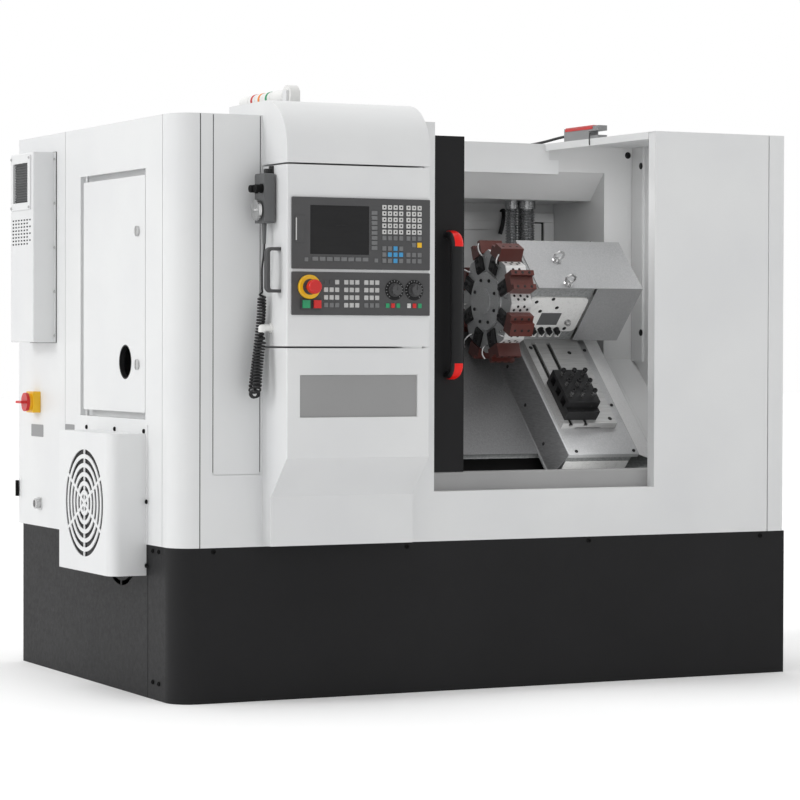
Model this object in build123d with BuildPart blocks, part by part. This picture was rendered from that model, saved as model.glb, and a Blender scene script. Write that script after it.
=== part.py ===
from build123d import *
import math
import os

os.makedirs("parts", exist_ok=True)

# Stations are measured in millimetres from the machine's front left foot:
# x to the right along the front, y to the back, z up from the floor.

# Whole machine
length = 2018
base_depth = 1282
rear_y = 1270
base_height = 436
height = 1650
corner_radius = 72
sheet = 3
seam = 3
groove = 1.5
slip = 0.4
run_clearance = 0.05
overrun = 8

# Slant bed: spindle axis and the plane of the slides that passes through it
spindle_y = 386
spindle_z = 954

# Plinth
plinth_wall = 4
plinth_flange = 40
plinth_seam_y = 204
vent_y = 418
vent_z = 454
vent_radius = 149

# Round vent pattern shared by the fan box and the plinth
vent_rings = 6
vent_pitch = 26
vent_slot = 14
vent_spoke = 9
spoke_angles = (30, 90, 150)

# Bed casting
bed_left = 300
bed_end_gap = 118
bed_front = 322
bed_rear = 1000
bed_top = 1088
bed_foot = 40
bed_drop = 240
foot_radius = 45
way_height = 24
way_width = 60
way_low = -180
way_high = 250
way_left = 770
core_radius = 120
pedestal_left = 70
pedestal_right = 320
pedestal_width = 230
shaft_height = 112

# Headstock, spindle and chuck
head_left = 330
head_right = 745
head_reach = 150
head_crown = 130
head_round = 40
spindle_left = 40
spindle_radius = 50
spindle_bore = 26
spindle_end = 795
nose_radius = 66
nose_length = 40
chuck_radius = 100
chuck_length = 100
chuck_round = 6
jaw_count = 3
jaw_width = 34
jaw_inner = 32
jaw_outer = 92
jaw_length = 42
jaw_step = 20
jaw_root = 62

# Spindle drive
motor_y = 429
motor_z = 546
motor_left = 28
motor_length = 165
motor_radius = 92
fin_count = 28
fin_height = 9
fin_width = 5
bell_length = 26
cowl_radius = 104
shaft_radius = 19
shaft_engage = 70
motor_foot = 190
motor_foot_height = 16
motor_leg = 110
pulley_left = 227
pulley_width = 56
pulley_radius = 90
motor_pulley_radius = 60
pulley_rim = 6
belt_thickness = 9
belt_inset = 3

# Front left corner and access panel
post_side = 96
strip_seam_x = 73
access_left = 112
access_right = 258
access_bottom = 642
flange = 26

# Front panel and door opening
opening_left = 807
opening_right = 1550
sill = 580
jamb = 38
end_seam_x = 1958
end_round = 14

# Roof and its cut out over the work area
roof_cut_y = 677
roof_cut_right = 1548
roof_fold = 22
fascia_drop = 96
fascia_notch_x = 1563
fascia_right = 1598
fascia_notch_drop = 51

# Rear panel with its access cover
hatch_left = 1000
hatch_right = 1760
hatch_bottom = 640
hatch_drop = 230
louvre_count = 9
louvre_width = 300
louvre_height = 8
louvre_pitch = 24

# Left side and its door
side_open_front = 226
side_open_rear = 760
side_open_bottom = 791
side_open_drop = 144
side_return = 30
side_stop = 44
leaf_thickness = 16
leaf_top_gap = 19
leaf_side_gap = 4
leaf_rear_gap = 27
leaf_round = 4
bar_hole_radius = 50
latch_y = 287
latch_low_z = 947
latch_high_drop = 321
latch_radius = 15
latch_proud = 6
latch_stem = 9
latch_slot = 5
latch_cam = 26
latch_cam_width = 14
pivot_radius = 4
pivot_reach = 31

# Electrical cabinet with its rear door
cabinet_front = 896
cabinet_right = 700
cabinet_rear = 1300
cabinet_door_rear = 1324
hinge_radius = 5
hinge_tab = 30
hinge_length = 50
hinge_low_z = 546
hinge_high_drop = 110
door_rim = 20
plate_gap = 40
module_count = 5
module_width = 80
module_depth = 170
module_height = 320
module_z = 1000
module_left = 90
module_pitch = 110

# Cabinet cooler
cooler_front = 987
cooler_rear = 1199
cooler_bottom = 1009
cooler_drop = 57
cooler_proud = 71
cooler_round = 5
cooler_lip = 14
filter_y = 1095
filter_drop = 149
filter_width = 179
filter_height = 166
filter_border = 22
filter_proud = 4
filter_sink = 12
perforation_depth = 10
perforation_drop = 295
perforation_rows = 8
perforation_columns = 7
perforation_length = 15
perforation_width = 5
perforation_pitch_y = 26
perforation_pitch_z = 10.5

# Fan box on the left side
fan_front = 217
fan_rear = 640
fan_bottom = 347
fan_top = 751
fan_proud = 110
fan_round = 32
fan_lip = 24
fan_y = 429
fan_z = 546
fan_radius = 155

# Main switch
switch_y = 1152
switch_z = 823
switch_size = 66
switch_depth = 24
switch_collar_radius = 27
switch_collar = 8
switch_handle_radius = 29
switch_handle_depth = 10
switch_grip_length = 50
switch_grip_width = 8
switch_grip_proud = 20
switch_stem_radius = 5

# Console column
console_left = 263
console_right = 706
console_proud = 170
console_foot_proud = 64
console_foot_z = 440
console_bend_low = 580
console_bend_high = 690
console_round = 5
recess_left = 303
recess_right = 667
recess_bottom = 803
recess_top = 922
recess_depth = 5
box_bottom = 1001
box_drop = 145
box_gap = 5
box_back_gap = 6
box_pivot = 12
box_pivot_radius = 6
box_pivot_reach = 20
box_round = 4
hood_rise = 40
hood_rear = 240
hood_radius = 144

# Operator panels on the control box
panel_left = 276
panel_right = 703
panel_proud = 5
screen_panel_bottom = 1216
screen_panel_top = 1415
key_panel_bottom = 1088
key_panel_top = 1208
panel_round = 3
screen_left = 331
screen_right = 512
screen_bottom = 1257
screen_top = 1393
screen_sink = 3
screen_rim = 1
key_size = 11
key_proud = 1.5
key_pitch_x = 17.5
key_pitch_z = 17.2
key_block_x = (585, 651.7)
key_block_columns = (4, 3)
keys_z = 1348.3
key_rows = 6
low_keys_z = (1259, 1250.4)
low_key_rows = (3, 2)
key_pair_x = 660.5
key_pair_z = 1287
softkey_width = 15
softkey_height = 9
softkey_x = 528
softkey_z = 1326
softkey_pitch = 14
softkey_rows = 8
softkey_low_x = 423
softkey_low_z = 1244
softkey_low_pitch = 22
mode_key_pitch_x = 17
mode_key_pitch_z = 21.3
mode_keys_z = 1148
mode_key_rows = 4
mode_block_columns = 3
mode_block_x = (396, 458, 520)
estop_x = 327
estop_z = 1166
estop_collar_radius = 32
estop_collar = 8
estop_stem_radius = 12
estop_head_radius = 20
estop_head = 20
estop_proud = 42
estop_engage = 1
push_x = (316, 350)
push_z = 1118
push_size = 22
push_proud = 10
push_travel = 3
push_bezel = 27
push_bezel_proud = 6
dial_x = (591, 653)
dial_z = 1160
dial_radius = 15
dial_proud = 20
dial_skirt_radius = 19
dial_skirt = 5
dial_stem_radius = 5
dial_stem = 4

# Grab handle on the control box
grab_y = -119
grab_bottom = 1150
grab_top = 1276
grab_reach = 42
grab_depth = 22
grab_thickness = 9
grab_chamfer = 16

# Hand pendant that hangs on the control box
pendant_front = -100
pendant_width = 67
pendant_bottom = 1344
pendant_top = 1482
pendant_back_x = 257
pendant_thickness = 32
pendant_round = 7
hook_width = 26
hook_height = 26
boot_radius = 7
boot_tip_radius = 4.5
boot_length = 58
wheel_z = 1380
wheel_radius = 29
wheel_rim = 9
wheel_gap = 5
wheel_hub_radius = 10
wheel_crank_radius = 5
wheel_crank = 14
wheel_crank_reach = 20
wheel_stem_radius = 5
wheel_stem = 12
selector_z = 1440
selector_radius = 10
selector_proud = 22
selector_spread = 17

# Pendant cord: thin lead, then a curly length into the gland
lead_radius = 3
curl_radius = 10
gland_z = 1052
gland_y = -64
gland_radius = 10
gland_flange_radius = 14
gland_flange = 5
gland_drop = 12
gland_x = 234
lead_route = ((240, -66, 1286), (240, -66, 1262), (235, -61, 1222), (238, -55, 1188), (238, -55, 1160))
curl_route = (
    (238, -55, 1160),
    (238, -55, 1124),
    (240, -43, 1066),
    (236, -33, 1000),
    (228, -30, 930),
    (219, -30, 866),
    (216, -72, 866),
    (219, -71, 930),
    (228, -67, 994),
    (234, -64, 1018),
    (234, -64, 1040),
)
bend_share = 0.45

# Work area liner
liner_left = 762
liner_front = 92
liner_drop = 60
liner_rear = 1019
liner_end_gap = 137
alcove_right = 1770
slope_drop = 84
slope_low_drop = 175
nose_hole_radius = 84
way_cover_low = -203
way_cover_high = 400
fixed_cover_right = 1095
right_cover_left = 1790
bed_clearance = 4
trough_z = 560
post_width = 67
post_proud = 9
emboss_left = 1000
emboss_right = 1640
emboss_bottom = 1180
emboss_drop = 230
emboss_border = 34
emboss_proud = 8
liner_bend = 4

# Corrugated conduits behind the turret
conduit_y = 850
conduit_x = (1520, 1574)
conduit_radii = (16, 25)
conduit_collar = 6
conduit_collar_length = 26
junction_left = 1470
junction_right = 1630
junction_front = 826
junction_top = 1180

# Saddle, way cover and cross slide, in x, slant and normal stations
saddle_left = 1410
saddle_right = 1640
saddle_low = -280
saddle_high = 380
saddle_gap = 2
cover_flat_left = 1396
cover_flat_right = 1645
cover_right = 1722
cover_left = 1062
cover_fold_left = 1370
cover_drop = 102
cover_right_drop = 136
cover_apron_drop = 200
cover_low = -300
cover_high = 390
cover_lip = 14
guide_left = 1460
guide_right = 1550
guide_low = -130
guide_high = 300
guide_rise = 5
table_left = 1410
table_right = 1604
table_low = -190
table_high = 350
table_drop = 80
slot_x = (1440, 1493)
slot_width = 14
slot_depth = 12
slot_high = 160

# Gang tool block on the slotted table
gang_left = 1420
gang_right = 1533
gang_low = -155
gang_high = -14
gang_height = 60
gang_foot_low = -175
gang_foot_height = 36
gang_slot = 26
gang_slot_depth = 46
gang_slot_count = 3
gang_slot_pitch = 44
gang_slot_first = -128
gang_slot_lift = 22
gang_screw_radius = 6
gang_screw_proud = 18
gang_screw_pitch = 38
gang_screw_columns = 3
gang_round = 3

# Turret
turret_s = 266
turret_face = 1284
turret_thickness = 72
turret_radius = 150
turret_stations = 8
turret_first_angle = 25
turret_hub_radius = 92
turret_hub_proud = 8
turret_cap_radius = 40
turret_cap_proud = 5
turret_spigot_radius = 48
turret_spigot = 60
holder_width = 62
holder_height = 44
holder_length = 80
holder_overhang = 8
holder_step = 14
holder_ledge = 20
holder_channel = 30
clamp_width = 44
clamp_length = 50
clamp_proud = 12
clamp_inner = 98
clamp_chamfer = 6
housing_left = 1360
housing_right = 1582
housing_low = 180
housing_high = 348
port_count = 4
port_radius = 6
port_pitch = 18
port_x = 1455
port_n = -25
port_depth = 14

# Cover over the turret drive
shroud_left = 1370
shroud_right = 1745
shroud_low = 167
shroud_high = 381
shroud_crown = 157
shroud_apron_left = 1582
shroud_drop = 73

# Sliding door with its top wing, window and handle
door_left = 150
door_right = 925
door_front = 42
door_depth = 36
door_drop = 35
door_frame = 26
window_left = 300
window_right = 760
window_bottom = 930
window_drop = 230
window_round = 40
window_lap = 24
glass = 8
handle_x = 878
handle_low_z = 918
handle_drop = 324
handle_width = 40
handle_depth = 26
handle_proud = 58
handle_bend = 34
cap_bend_share = 0.9
track_left = 130
track_right = 1580
track_front = 38
track_depth = 54
track_top = 634
track_bend = 5
wing_rear = 672
wing_drop = 50
wing_fold = 18
wing_bend = 4

# Tower lamp that folds down on the roof
lamp_x = 483
lamp_y = 294
lamp_rise = 86
lamp_radius = 20
lamp_length = 340
lamp_neck = 24
lamp_hub_radius = 30
lamp_hub_width = 30
lamp_foot_width = 14
lamp_foot_radius = 36
lamp_foot_plate = 8
lamp_pin_radius = 7
lamp_band_gap = 2.5
lamp_band_groove = 1.2
lamp_band_share = (0.34, 0.5, 0.66, 0.82)

# Door interlock switch on the right edge of the roof
interlock_x = 1552
interlock_width = 34
interlock_front = 345
interlock_length = 215
interlock_height = 40
interlock_slot_length = 58
interlock_slot_height = 14
interlock_base = 10

# Stations that hang from the roof, and ends that follow the length
fascia_bottom = height - fascia_drop
fascia_notch_z = height - fascia_notch_drop
hatch_top = height - hatch_drop
side_open_top = height - side_open_drop
latch_high_z = height - latch_high_drop
hinge_high_z = height - hinge_high_drop
cooler_top = height - cooler_drop
filter_z = height - filter_drop
perforation_z = height - perforation_drop
box_top = height - box_drop
liner_top = height - liner_drop
slope_top_z = height - slope_drop
slope_bottom_z = height - slope_low_drop
emboss_top = height - emboss_drop
door_top = height - door_drop
window_top = height - window_drop
handle_high_z = height - handle_drop
wing_z = height - wing_drop
hood_top = height + hood_rise
lamp_z = height + lamp_rise
bed_right = length - bed_end_gap
liner_right = length - liner_end_gap

# The origin lies on the floor below the middle of the whole outline
center_x = (length - fan_proud) / 2
center_y = (cabinet_door_rear + hinge_radius - console_proud - panel_proud - estop_collar - estop_proud) / 2
foot = (-center_x, -center_y, 0)
axis_point = (-center_x, spindle_y - center_y, spindle_z)
floor = Plane(origin=foot)
front = Plane(origin=foot, x_dir=(1, 0, 0), z_dir=(0, -1, 0))
side = Plane(origin=foot, x_dir=(0, 1, 0), z_dir=(1, 0, 0))
slant = Plane(origin=axis_point, x_dir=(1, 0, 0), z_dir=(0, -1, 1))
cross = Plane(origin=axis_point, x_dir=slant.y_dir, z_dir=(1, 0, 0))
axial = Plane(origin=axis_point, x_dir=(1, 0, 0), z_dir=(0, -1, 0))
across = Plane(origin=axis_point, x_dir=(1, 0, 0), z_dir=(0, -1, -1))


def block(frame, x, y, z, mode=Mode.ADD):
    """Square block between two stations on each axis of a frame."""
    with Locations(frame.location * Location((x[0], y[0], z[0]))):
        Box(x[1] - x[0], y[1] - y[0], z[1] - z[0], align=(Align.MIN, Align.MIN, Align.MIN), mode=mode)


def rod(frame, centre, radius, reach, mode=Mode.ADD):
    """Round bar from a plane along its normal."""
    with BuildSketch(frame) as section:
        with Locations(centre):
            Circle(radius)
    extrude(section.sketch, amount=reach, mode=mode)


def prism(frame, points, reach, mode=Mode.ADD):
    """Closed outline on a plane, drawn along its normal."""
    with BuildSketch(frame) as section:
        with BuildLine():
            Polyline(*points, close=True)
        make_face()
    extrude(section.sketch, amount=reach, mode=mode)


def folded(frame, points, radius, reach, turn=Side.LEFT, gauge=sheet):
    """Sheet bent along an open outline on a plane, drawn along its normal."""
    with BuildSketch(frame) as section:
        with BuildLine():
            FilletPolyline(*points, radius=radius)
            offset(amount=gauge, side=turn)
        make_face()
    extrude(section.sketch, amount=reach)


def vent_slots(frame, centre, radius, reach):
    """Rings of arc slots between straight spokes, cut along a plane's normal."""
    with BuildSketch(frame) as slots:
        with Locations(centre):
            for ring in range(vent_rings):
                outer = radius - ring * vent_pitch
                Circle(outer)
                Circle(outer - vent_slot, mode=Mode.SUBTRACT)
            for angle in spoke_angles:
                Rectangle(2 * radius + vent_spoke, vent_spoke, rotation=angle, mode=Mode.SUBTRACT)
    extrude(slots.sketch, amount=reach, mode=Mode.SUBTRACT)


def plinth_ring(z, width, reach):
    """Ring of the plinth's plan outline, of one wall width, drawn up from a height."""
    with BuildSketch(floor.offset(z)) as ring:
        with Locations((length / 2, base_depth / 2)):
            Rectangle(length, base_depth)
        fillet(ring.vertices().group_by(Axis.X)[0].sort_by(Axis.Y)[0], corner_radius)
        offset(amount=-width, mode=Mode.SUBTRACT)
    extrude(ring.sketch, amount=reach)


# Plinth: hollow skirt with a foot flange and a flange that carries the panels
with BuildPart() as base_skirt:
    plinth_ring(0, plinth_wall, base_height)
    plinth_ring(0, plinth_flange, plinth_wall)
    plinth_ring(base_height - plinth_wall, plinth_flange, plinth_wall)
    block(floor, (-overrun, groove), (plinth_seam_y, plinth_seam_y + seam), (0, base_height), Mode.SUBTRACT)
    vent_slots(side.offset(-overrun), (vent_y, vent_z), vent_radius, overrun + plinth_flange)

# Bed casting: slanted top with two box ways, feet and a pedestal for the motor
bed_low_z = bed_front + spindle_z - spindle_y - bed_drop * math.sqrt(2)
bed_top_y = bed_top - (bed_low_z - bed_front)
bed_outline = (
    (bed_front, bed_foot),
    (bed_rear, bed_foot),
    (bed_rear, bed_top),
    (bed_top_y, bed_top),
    (bed_front, bed_low_z),
)
pedestal_top = motor_z - shaft_height
pedestal_front = motor_y - pedestal_width / 2
pedestal_rear = motor_y + pedestal_width / 2
with BuildPart() as bed_casting:
    prism(side.offset(bed_left), bed_outline, bed_right - bed_left)
    rod(
        side.offset(bed_left + head_reach),
        ((bed_front + bed_rear) / 2 + core_radius, bed_foot + 2 * core_radius),
        core_radius,
        bed_right,
        Mode.SUBTRACT,
    )
    block(
        floor,
        (bed_left - overrun, cabinet_right + bed_clearance),
        (cabinet_front - bed_clearance, bed_rear + overrun),
        (base_height - bed_clearance, bed_top + overrun),
        Mode.SUBTRACT,
    )
    block(floor, (pedestal_left, pedestal_right), (pedestal_front, pedestal_rear), (bed_foot, pedestal_top))
    for way in (way_low, way_high):
        way_rise = (-bed_drop - overrun, way_height - bed_drop)
        block(slant, (way_left, bed_right), (way, way + way_width), way_rise)
    with BuildSketch(floor):
        with Locations(((bed_left + bed_right) / 2, (bed_front + bed_rear) / 2)):
            with GridLocations(
                (bed_right - bed_left) / 2 - 2 * foot_radius, bed_rear - bed_front - 4 * foot_radius, 3, 2
            ):
                Circle(foot_radius)
        with Locations((pedestal_left + foot_radius, motor_y)):
            Circle(foot_radius)
    extrude(amount=bed_foot)

# Headstock: block on the slant with a long spindle bore
spindle_centre = (spindle_y, spindle_z)
with BuildPart() as headstock:
    block(slant, (head_left, head_right), (-head_reach, head_reach), (-bed_drop, head_crown))
    crown_edges = headstock.edges().filter_by(Axis.X).sort_by(Axis(axis_point, slant.z_dir))[-2:]
    fillet(crown_edges, head_round)
    rod(side.offset(head_left), spindle_centre, spindle_radius + run_clearance, head_right, Mode.SUBTRACT)

# Spindle: bored shaft with a flanged nose and the driven pulley
belt_seat = pulley_radius - belt_inset
spindle_outline = (
    (spindle_left, spindle_bore),
    (spindle_end, spindle_bore),
    (spindle_end, nose_radius),
    (spindle_end - nose_length, nose_radius),
    (spindle_end - nose_length, spindle_radius),
    (pulley_left + pulley_width, spindle_radius),
    (pulley_left + pulley_width, pulley_radius + pulley_rim),
    (pulley_left + pulley_width - pulley_rim, belt_seat),
    (pulley_left + pulley_rim, belt_seat),
    (pulley_left, pulley_radius + pulley_rim),
    (pulley_left, spindle_radius),
    (spindle_left, spindle_radius),
)
with BuildPart() as spindle:
    with BuildSketch(axial):
        with BuildLine():
            Polyline(*spindle_outline, close=True)
        make_face()
    revolve(axis=Axis(axis_point, (1, 0, 0)))

# Chuck: bored body with stepped jaws on its face
with BuildPart() as chuck:
    rod(side.offset(spindle_end), spindle_centre, chuck_radius, chuck_length)
    chamfer(chuck.edges().filter_by(GeomType.CIRCLE), chuck_round)
    jaw_x = spindle_end + chuck_length
    for jaw in PolarLocations(0, jaw_count, start_angle=90):
        jaw_frame = Plane(cross.location * jaw)
        block(jaw_frame, (jaw_inner, jaw_outer), (-jaw_width / 2, jaw_width / 2), (jaw_x, jaw_x + jaw_step))
        block(
            jaw_frame, (jaw_root, jaw_outer), (-jaw_width / 2, jaw_width / 2), (jaw_x, jaw_x + jaw_length)
        )
    rod(side.offset(spindle_end), spindle_centre, spindle_bore, chuck_length + jaw_length, Mode.SUBTRACT)

# Spindle motor: ribbed case on a foot, bored for the shaft of its pulley
motor_centre = (motor_y, motor_z)
motor_end = motor_left + motor_length
with BuildPart() as spindle_motor:
    rod(side.offset(motor_left), motor_centre, motor_radius, motor_length)
    with BuildSketch(side.offset(motor_left + bell_length)):
        with Locations(motor_centre):
            with PolarLocations(motor_radius, fin_count):
                Rectangle(2 * fin_height, fin_width)
    extrude(amount=motor_length - 2 * bell_length)
    rod(side.offset(motor_left), motor_centre, cowl_radius, bell_length)
    leg = (motor_left + bell_length, motor_end)
    block(floor, leg, (motor_y - motor_leg / 2, motor_y + motor_leg / 2), (pedestal_top, motor_z))
    block(
        floor,
        leg,
        (motor_y - motor_foot / 2, motor_y + motor_foot / 2),
        (pedestal_top, pedestal_top + motor_foot_height),
    )
    rod(
        side.offset(motor_end - shaft_engage),
        motor_centre,
        shaft_radius + run_clearance,
        shaft_engage,
        Mode.SUBTRACT,
    )

# Motor pulley with its shaft, which runs in the motor
motor_seat = motor_pulley_radius - belt_inset
motor_point = (-center_x, motor_y - center_y, motor_z)
motor_axial = Plane(origin=motor_point, x_dir=(1, 0, 0), z_dir=(0, -1, 0))
motor_pulley_outline = (
    (motor_end - shaft_engage + slip, 0),
    (pulley_left + pulley_width, 0),
    (pulley_left + pulley_width, motor_pulley_radius + pulley_rim),
    (pulley_left + pulley_width - pulley_rim, motor_seat),
    (pulley_left + pulley_rim, motor_seat),
    (pulley_left, motor_pulley_radius + pulley_rim),
    (pulley_left, shaft_radius),
    (motor_end - shaft_engage + slip, shaft_radius),
)
with BuildPart() as motor_pulley:
    with BuildSketch(motor_axial):
        with BuildLine():
            Polyline(*motor_pulley_outline, close=True)
        make_face()
    revolve(axis=Axis(motor_point, (1, 0, 0)))


def belt_loop(gap):
    """Outline of the loop round both pulley seats, a gap away from them."""
    with BuildSketch(side.offset(pulley_left + pulley_rim + slip)) as loop:
        with Locations(spindle_centre):
            Circle(belt_seat + gap)
        with Locations(motor_centre):
            Circle(motor_seat + gap)
        make_hull()
    return loop.sketch


# Drive belt between the two pulleys
belt_width = pulley_width - 2 * pulley_rim - 2 * slip
with BuildPart() as drive_belt:
    extrude(belt_loop(slip + belt_thickness), amount=belt_width)
    extrude(belt_loop(slip), amount=belt_width, mode=Mode.SUBTRACT)

# Front left corner: rounded post, lower strip and the flange behind the access panel
panel_height = height - base_height
with BuildPart() as front_left_panel:
    folded(
        floor.offset(base_height), ((0, post_side), (0, 0), (access_left, 0)), corner_radius, panel_height
    )
    block(
        floor, (strip_seam_x, strip_seam_x + seam), (-overrun, groove), (base_height, height), Mode.SUBTRACT
    )
    block(floor, (access_left, access_right), (0, sheet), (base_height, access_bottom - seam))
    backing = (sheet, 2 * sheet)
    block(
        floor,
        (access_left - flange, access_left + flange),
        backing,
        (access_bottom - flange, height - sheet),
    )
    block(floor, (access_left, access_right), backing, (access_bottom - flange, access_bottom + flange))

# Access panel that closes the front left corner
with BuildPart() as access_panel:
    block(floor, (access_left + seam, access_right - seam), (0, sheet), (access_bottom, height))

# Front panel with the returned edges of the door opening
with BuildPart() as front_panel:
    block(floor, (access_right, end_seam_x - seam), (0, sheet), (base_height, height))
    block(floor, (opening_left - sheet, opening_right + sheet), (0, jamb), (sill - sheet, height - sheet))
    block(
        floor,
        (opening_left, opening_right),
        (-overrun, jamb + overrun),
        (sill, height + overrun),
        Mode.SUBTRACT,
    )

# Right side panel, bent round the front right corner
with BuildPart() as right_side_panel:
    folded(
        floor.offset(base_height), ((end_seam_x, 0), (length, 0), (length, rear_y)), end_round, panel_height
    )

# Rear panel with a louvred access cover
hatch_x = (hatch_left + hatch_right) / 2
hatch_z = (hatch_bottom + hatch_top) / 2
with BuildPart() as rear_panel:
    block(floor, (cabinet_right + seam, length - sheet), (rear_y - sheet, rear_y), (base_height, height))
    block(floor, (hatch_left, hatch_right), (rear_y, rear_y + sheet), (hatch_bottom, hatch_top))
    with BuildSketch(front.offset(-rear_y - sheet)):
        with Locations((hatch_x, hatch_z)):
            with GridLocations(louvre_pitch, louvre_pitch, 1, louvre_count):
                Rectangle(louvre_width, louvre_height)
    extrude(amount=2 * sheet, mode=Mode.SUBTRACT)

# Roof with the cut out over the work area, its folded edges and the lamp foot
fascia_y = roof_cut_y + sheet
with BuildPart() as roof_panel:
    with BuildSketch(floor.offset(height - sheet)) as plan:
        with Locations((length / 2, rear_y / 2)):
            Rectangle(length - 2 * sheet, rear_y - 2 * sheet)
        fillet(plan.vertices().group_by(Axis.X)[0].sort_by(Axis.Y)[0], corner_radius - sheet)
        fillet(plan.vertices().group_by(Axis.X)[-1].sort_by(Axis.Y)[0], end_round - sheet)
    extrude(amount=sheet)
    through = (sill, height + overrun)
    block(floor, (opening_left, roof_cut_right), (-overrun, roof_cut_y), through, Mode.SUBTRACT)
    block(floor, (-overrun, cabinet_right), (cabinet_front, rear_y), through, Mode.SUBTRACT)
    block(floor, (opening_left, fascia_right), (roof_cut_y, fascia_y), (fascia_bottom, height))
    block(
        floor,
        (fascia_notch_x, fascia_right),
        (roof_cut_y - overrun, fascia_y + overrun),
        (fascia_notch_z, height - sheet),
        Mode.SUBTRACT,
    )
    for edge_x in (opening_left - sheet, roof_cut_right):
        block(floor, (edge_x, edge_x + sheet), (jamb, fascia_y), (height - roof_fold, height))
    rod(floor.offset(height), (lamp_x, lamp_y), lamp_foot_radius, lamp_foot_plate)
    for turn in (-1, 1):
        ear_x = lamp_x + turn * (lamp_hub_width + lamp_foot_width / 2 + 2 * slip) / 2
        block(
            floor,
            (ear_x - lamp_foot_width / 4, ear_x + lamp_foot_width / 4),
            (lamp_y - lamp_foot_width, lamp_y + lamp_foot_width),
            (height, lamp_z + lamp_foot_width),
        )
    rod(
        side.offset(lamp_x - lamp_hub_width / 2 - lamp_foot_width / 2),
        (lamp_y, lamp_z),
        lamp_pin_radius,
        lamp_hub_width + lamp_foot_width,
    )

# Left side panel: opening returned to a stop flange, with pivot pins for the side door
leaf_rear = side_open_rear - leaf_rear_gap
pivot = (leaf_thickness / 2, leaf_rear - leaf_thickness / 2)
with BuildPart() as left_side_panel:
    block(floor, (0, sheet), (post_side + seam, cabinet_front - seam), (base_height, height))
    block(
        floor,
        (0, side_return),
        (side_open_front - sheet, side_open_rear + sheet),
        (side_open_bottom - sheet, side_open_top + sheet),
    )
    block(
        floor,
        (-overrun, side_return - sheet),
        (side_open_front, side_open_rear),
        (side_open_bottom, side_open_top),
        Mode.SUBTRACT,
    )
    block(
        floor,
        (0, side_return + overrun),
        (side_open_front, side_open_rear - side_stop),
        (side_open_bottom + side_stop, side_open_top - side_stop),
        Mode.SUBTRACT,
    )
    rod(side.offset(-overrun), (fan_y, fan_z), fan_radius, 2 * overrun, Mode.SUBTRACT)
    for pin_z in (side_open_bottom, side_open_top - pivot_reach):
        rod(floor.offset(pin_z), pivot, pivot_radius, pivot_reach)

# Side door with the bar hole, the latch holes and the pivot bores
leaf_bottom = side_open_bottom + leaf_top_gap
leaf_top = side_open_top - leaf_top_gap
pivot_bore = pivot_reach - leaf_top_gap + overrun
with BuildPart() as side_door:
    block(
        floor,
        (0, leaf_thickness),
        (side_open_front + leaf_side_gap, leaf_rear),
        (leaf_bottom, leaf_top),
    )
    fillet(side_door.edges().filter_by(Axis.X), leaf_round)
    through_leaf = leaf_thickness + 2 * overrun
    rod(side.offset(-overrun), spindle_centre, bar_hole_radius, through_leaf, Mode.SUBTRACT)
    for latch_z in (latch_low_z, latch_high_z):
        latch_hole = latch_stem + run_clearance
        rod(side.offset(-overrun), (latch_y, latch_z), latch_hole, through_leaf, Mode.SUBTRACT)
    for bore_z in (leaf_bottom, leaf_top - pivot_bore):
        rod(floor.offset(bore_z), pivot, pivot_radius + run_clearance, pivot_bore, Mode.SUBTRACT)


def quarter_latch(z):
    """Slotted quarter turn latch with its cam behind the side door."""
    with BuildPart() as latch:
        face = -latch_proud
        rod(side.offset(face), (latch_y, z), latch_radius, latch_proud - slip)
        rod(side.offset(face), (latch_y, z), latch_stem, latch_proud + leaf_thickness + slip + sheet)
        block(
            floor,
            (face - overrun, face + 2 * groove),
            (latch_y - latch_slot / 2, latch_y + latch_slot / 2),
            (z - latch_radius, z + latch_radius),
            Mode.SUBTRACT,
        )
        block(
            floor,
            (leaf_thickness + slip, leaf_thickness + slip + sheet),
            (latch_y - latch_cam, latch_y + latch_cam_width / 2),
            (z - latch_cam_width / 2, z + latch_cam_width / 2),
        )
    return latch


side_latch_lower = quarter_latch(latch_low_z)
side_latch_upper = quarter_latch(latch_high_z)

# Electrical cabinet: shell open at the rear, with a mounting plate and drive modules
mount_plate_y = cabinet_front + plate_gap
with BuildPart() as electrical_cabinet:
    block(floor, (0, cabinet_right), (cabinet_front, cabinet_rear), (base_height, height))
    block(
        floor,
        (sheet, cabinet_right - sheet),
        (cabinet_front + sheet, cabinet_rear + overrun),
        (base_height + sheet, height - sheet),
        Mode.SUBTRACT,
    )
    block(
        floor,
        (0, cabinet_right),
        (mount_plate_y, mount_plate_y + sheet),
        (base_height + plate_gap, height - plate_gap),
    )
    for module in range(module_count):
        module_x = module_left + module * module_pitch
        block(
            floor,
            (module_x, module_x + module_width),
            (mount_plate_y, mount_plate_y + module_depth),
            (module_z, module_z + module_height),
        )

# Rear door of the cabinet: pan with hinge barrels
hinge_x = -hinge_radius - groove
with BuildPart() as cabinet_rear_door:
    block(floor, (0, cabinet_right), (cabinet_rear + slip, cabinet_door_rear), (base_height, height))
    block(
        floor,
        (door_rim, cabinet_right - door_rim),
        (cabinet_rear - overrun, cabinet_door_rear - sheet),
        (base_height + door_rim, height - door_rim),
        Mode.SUBTRACT,
    )
    for hinge_z in (hinge_low_z, hinge_high_z):
        rod(
            floor.offset(hinge_z - hinge_length / 2),
            (hinge_x, cabinet_door_rear),
            hinge_radius,
            hinge_length,
        )
        block(
            floor,
            (hinge_x, hinge_tab),
            (cabinet_door_rear, cabinet_door_rear + sheet),
            (hinge_z - hinge_length / 2, hinge_z + hinge_length / 2),
        )

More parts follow.
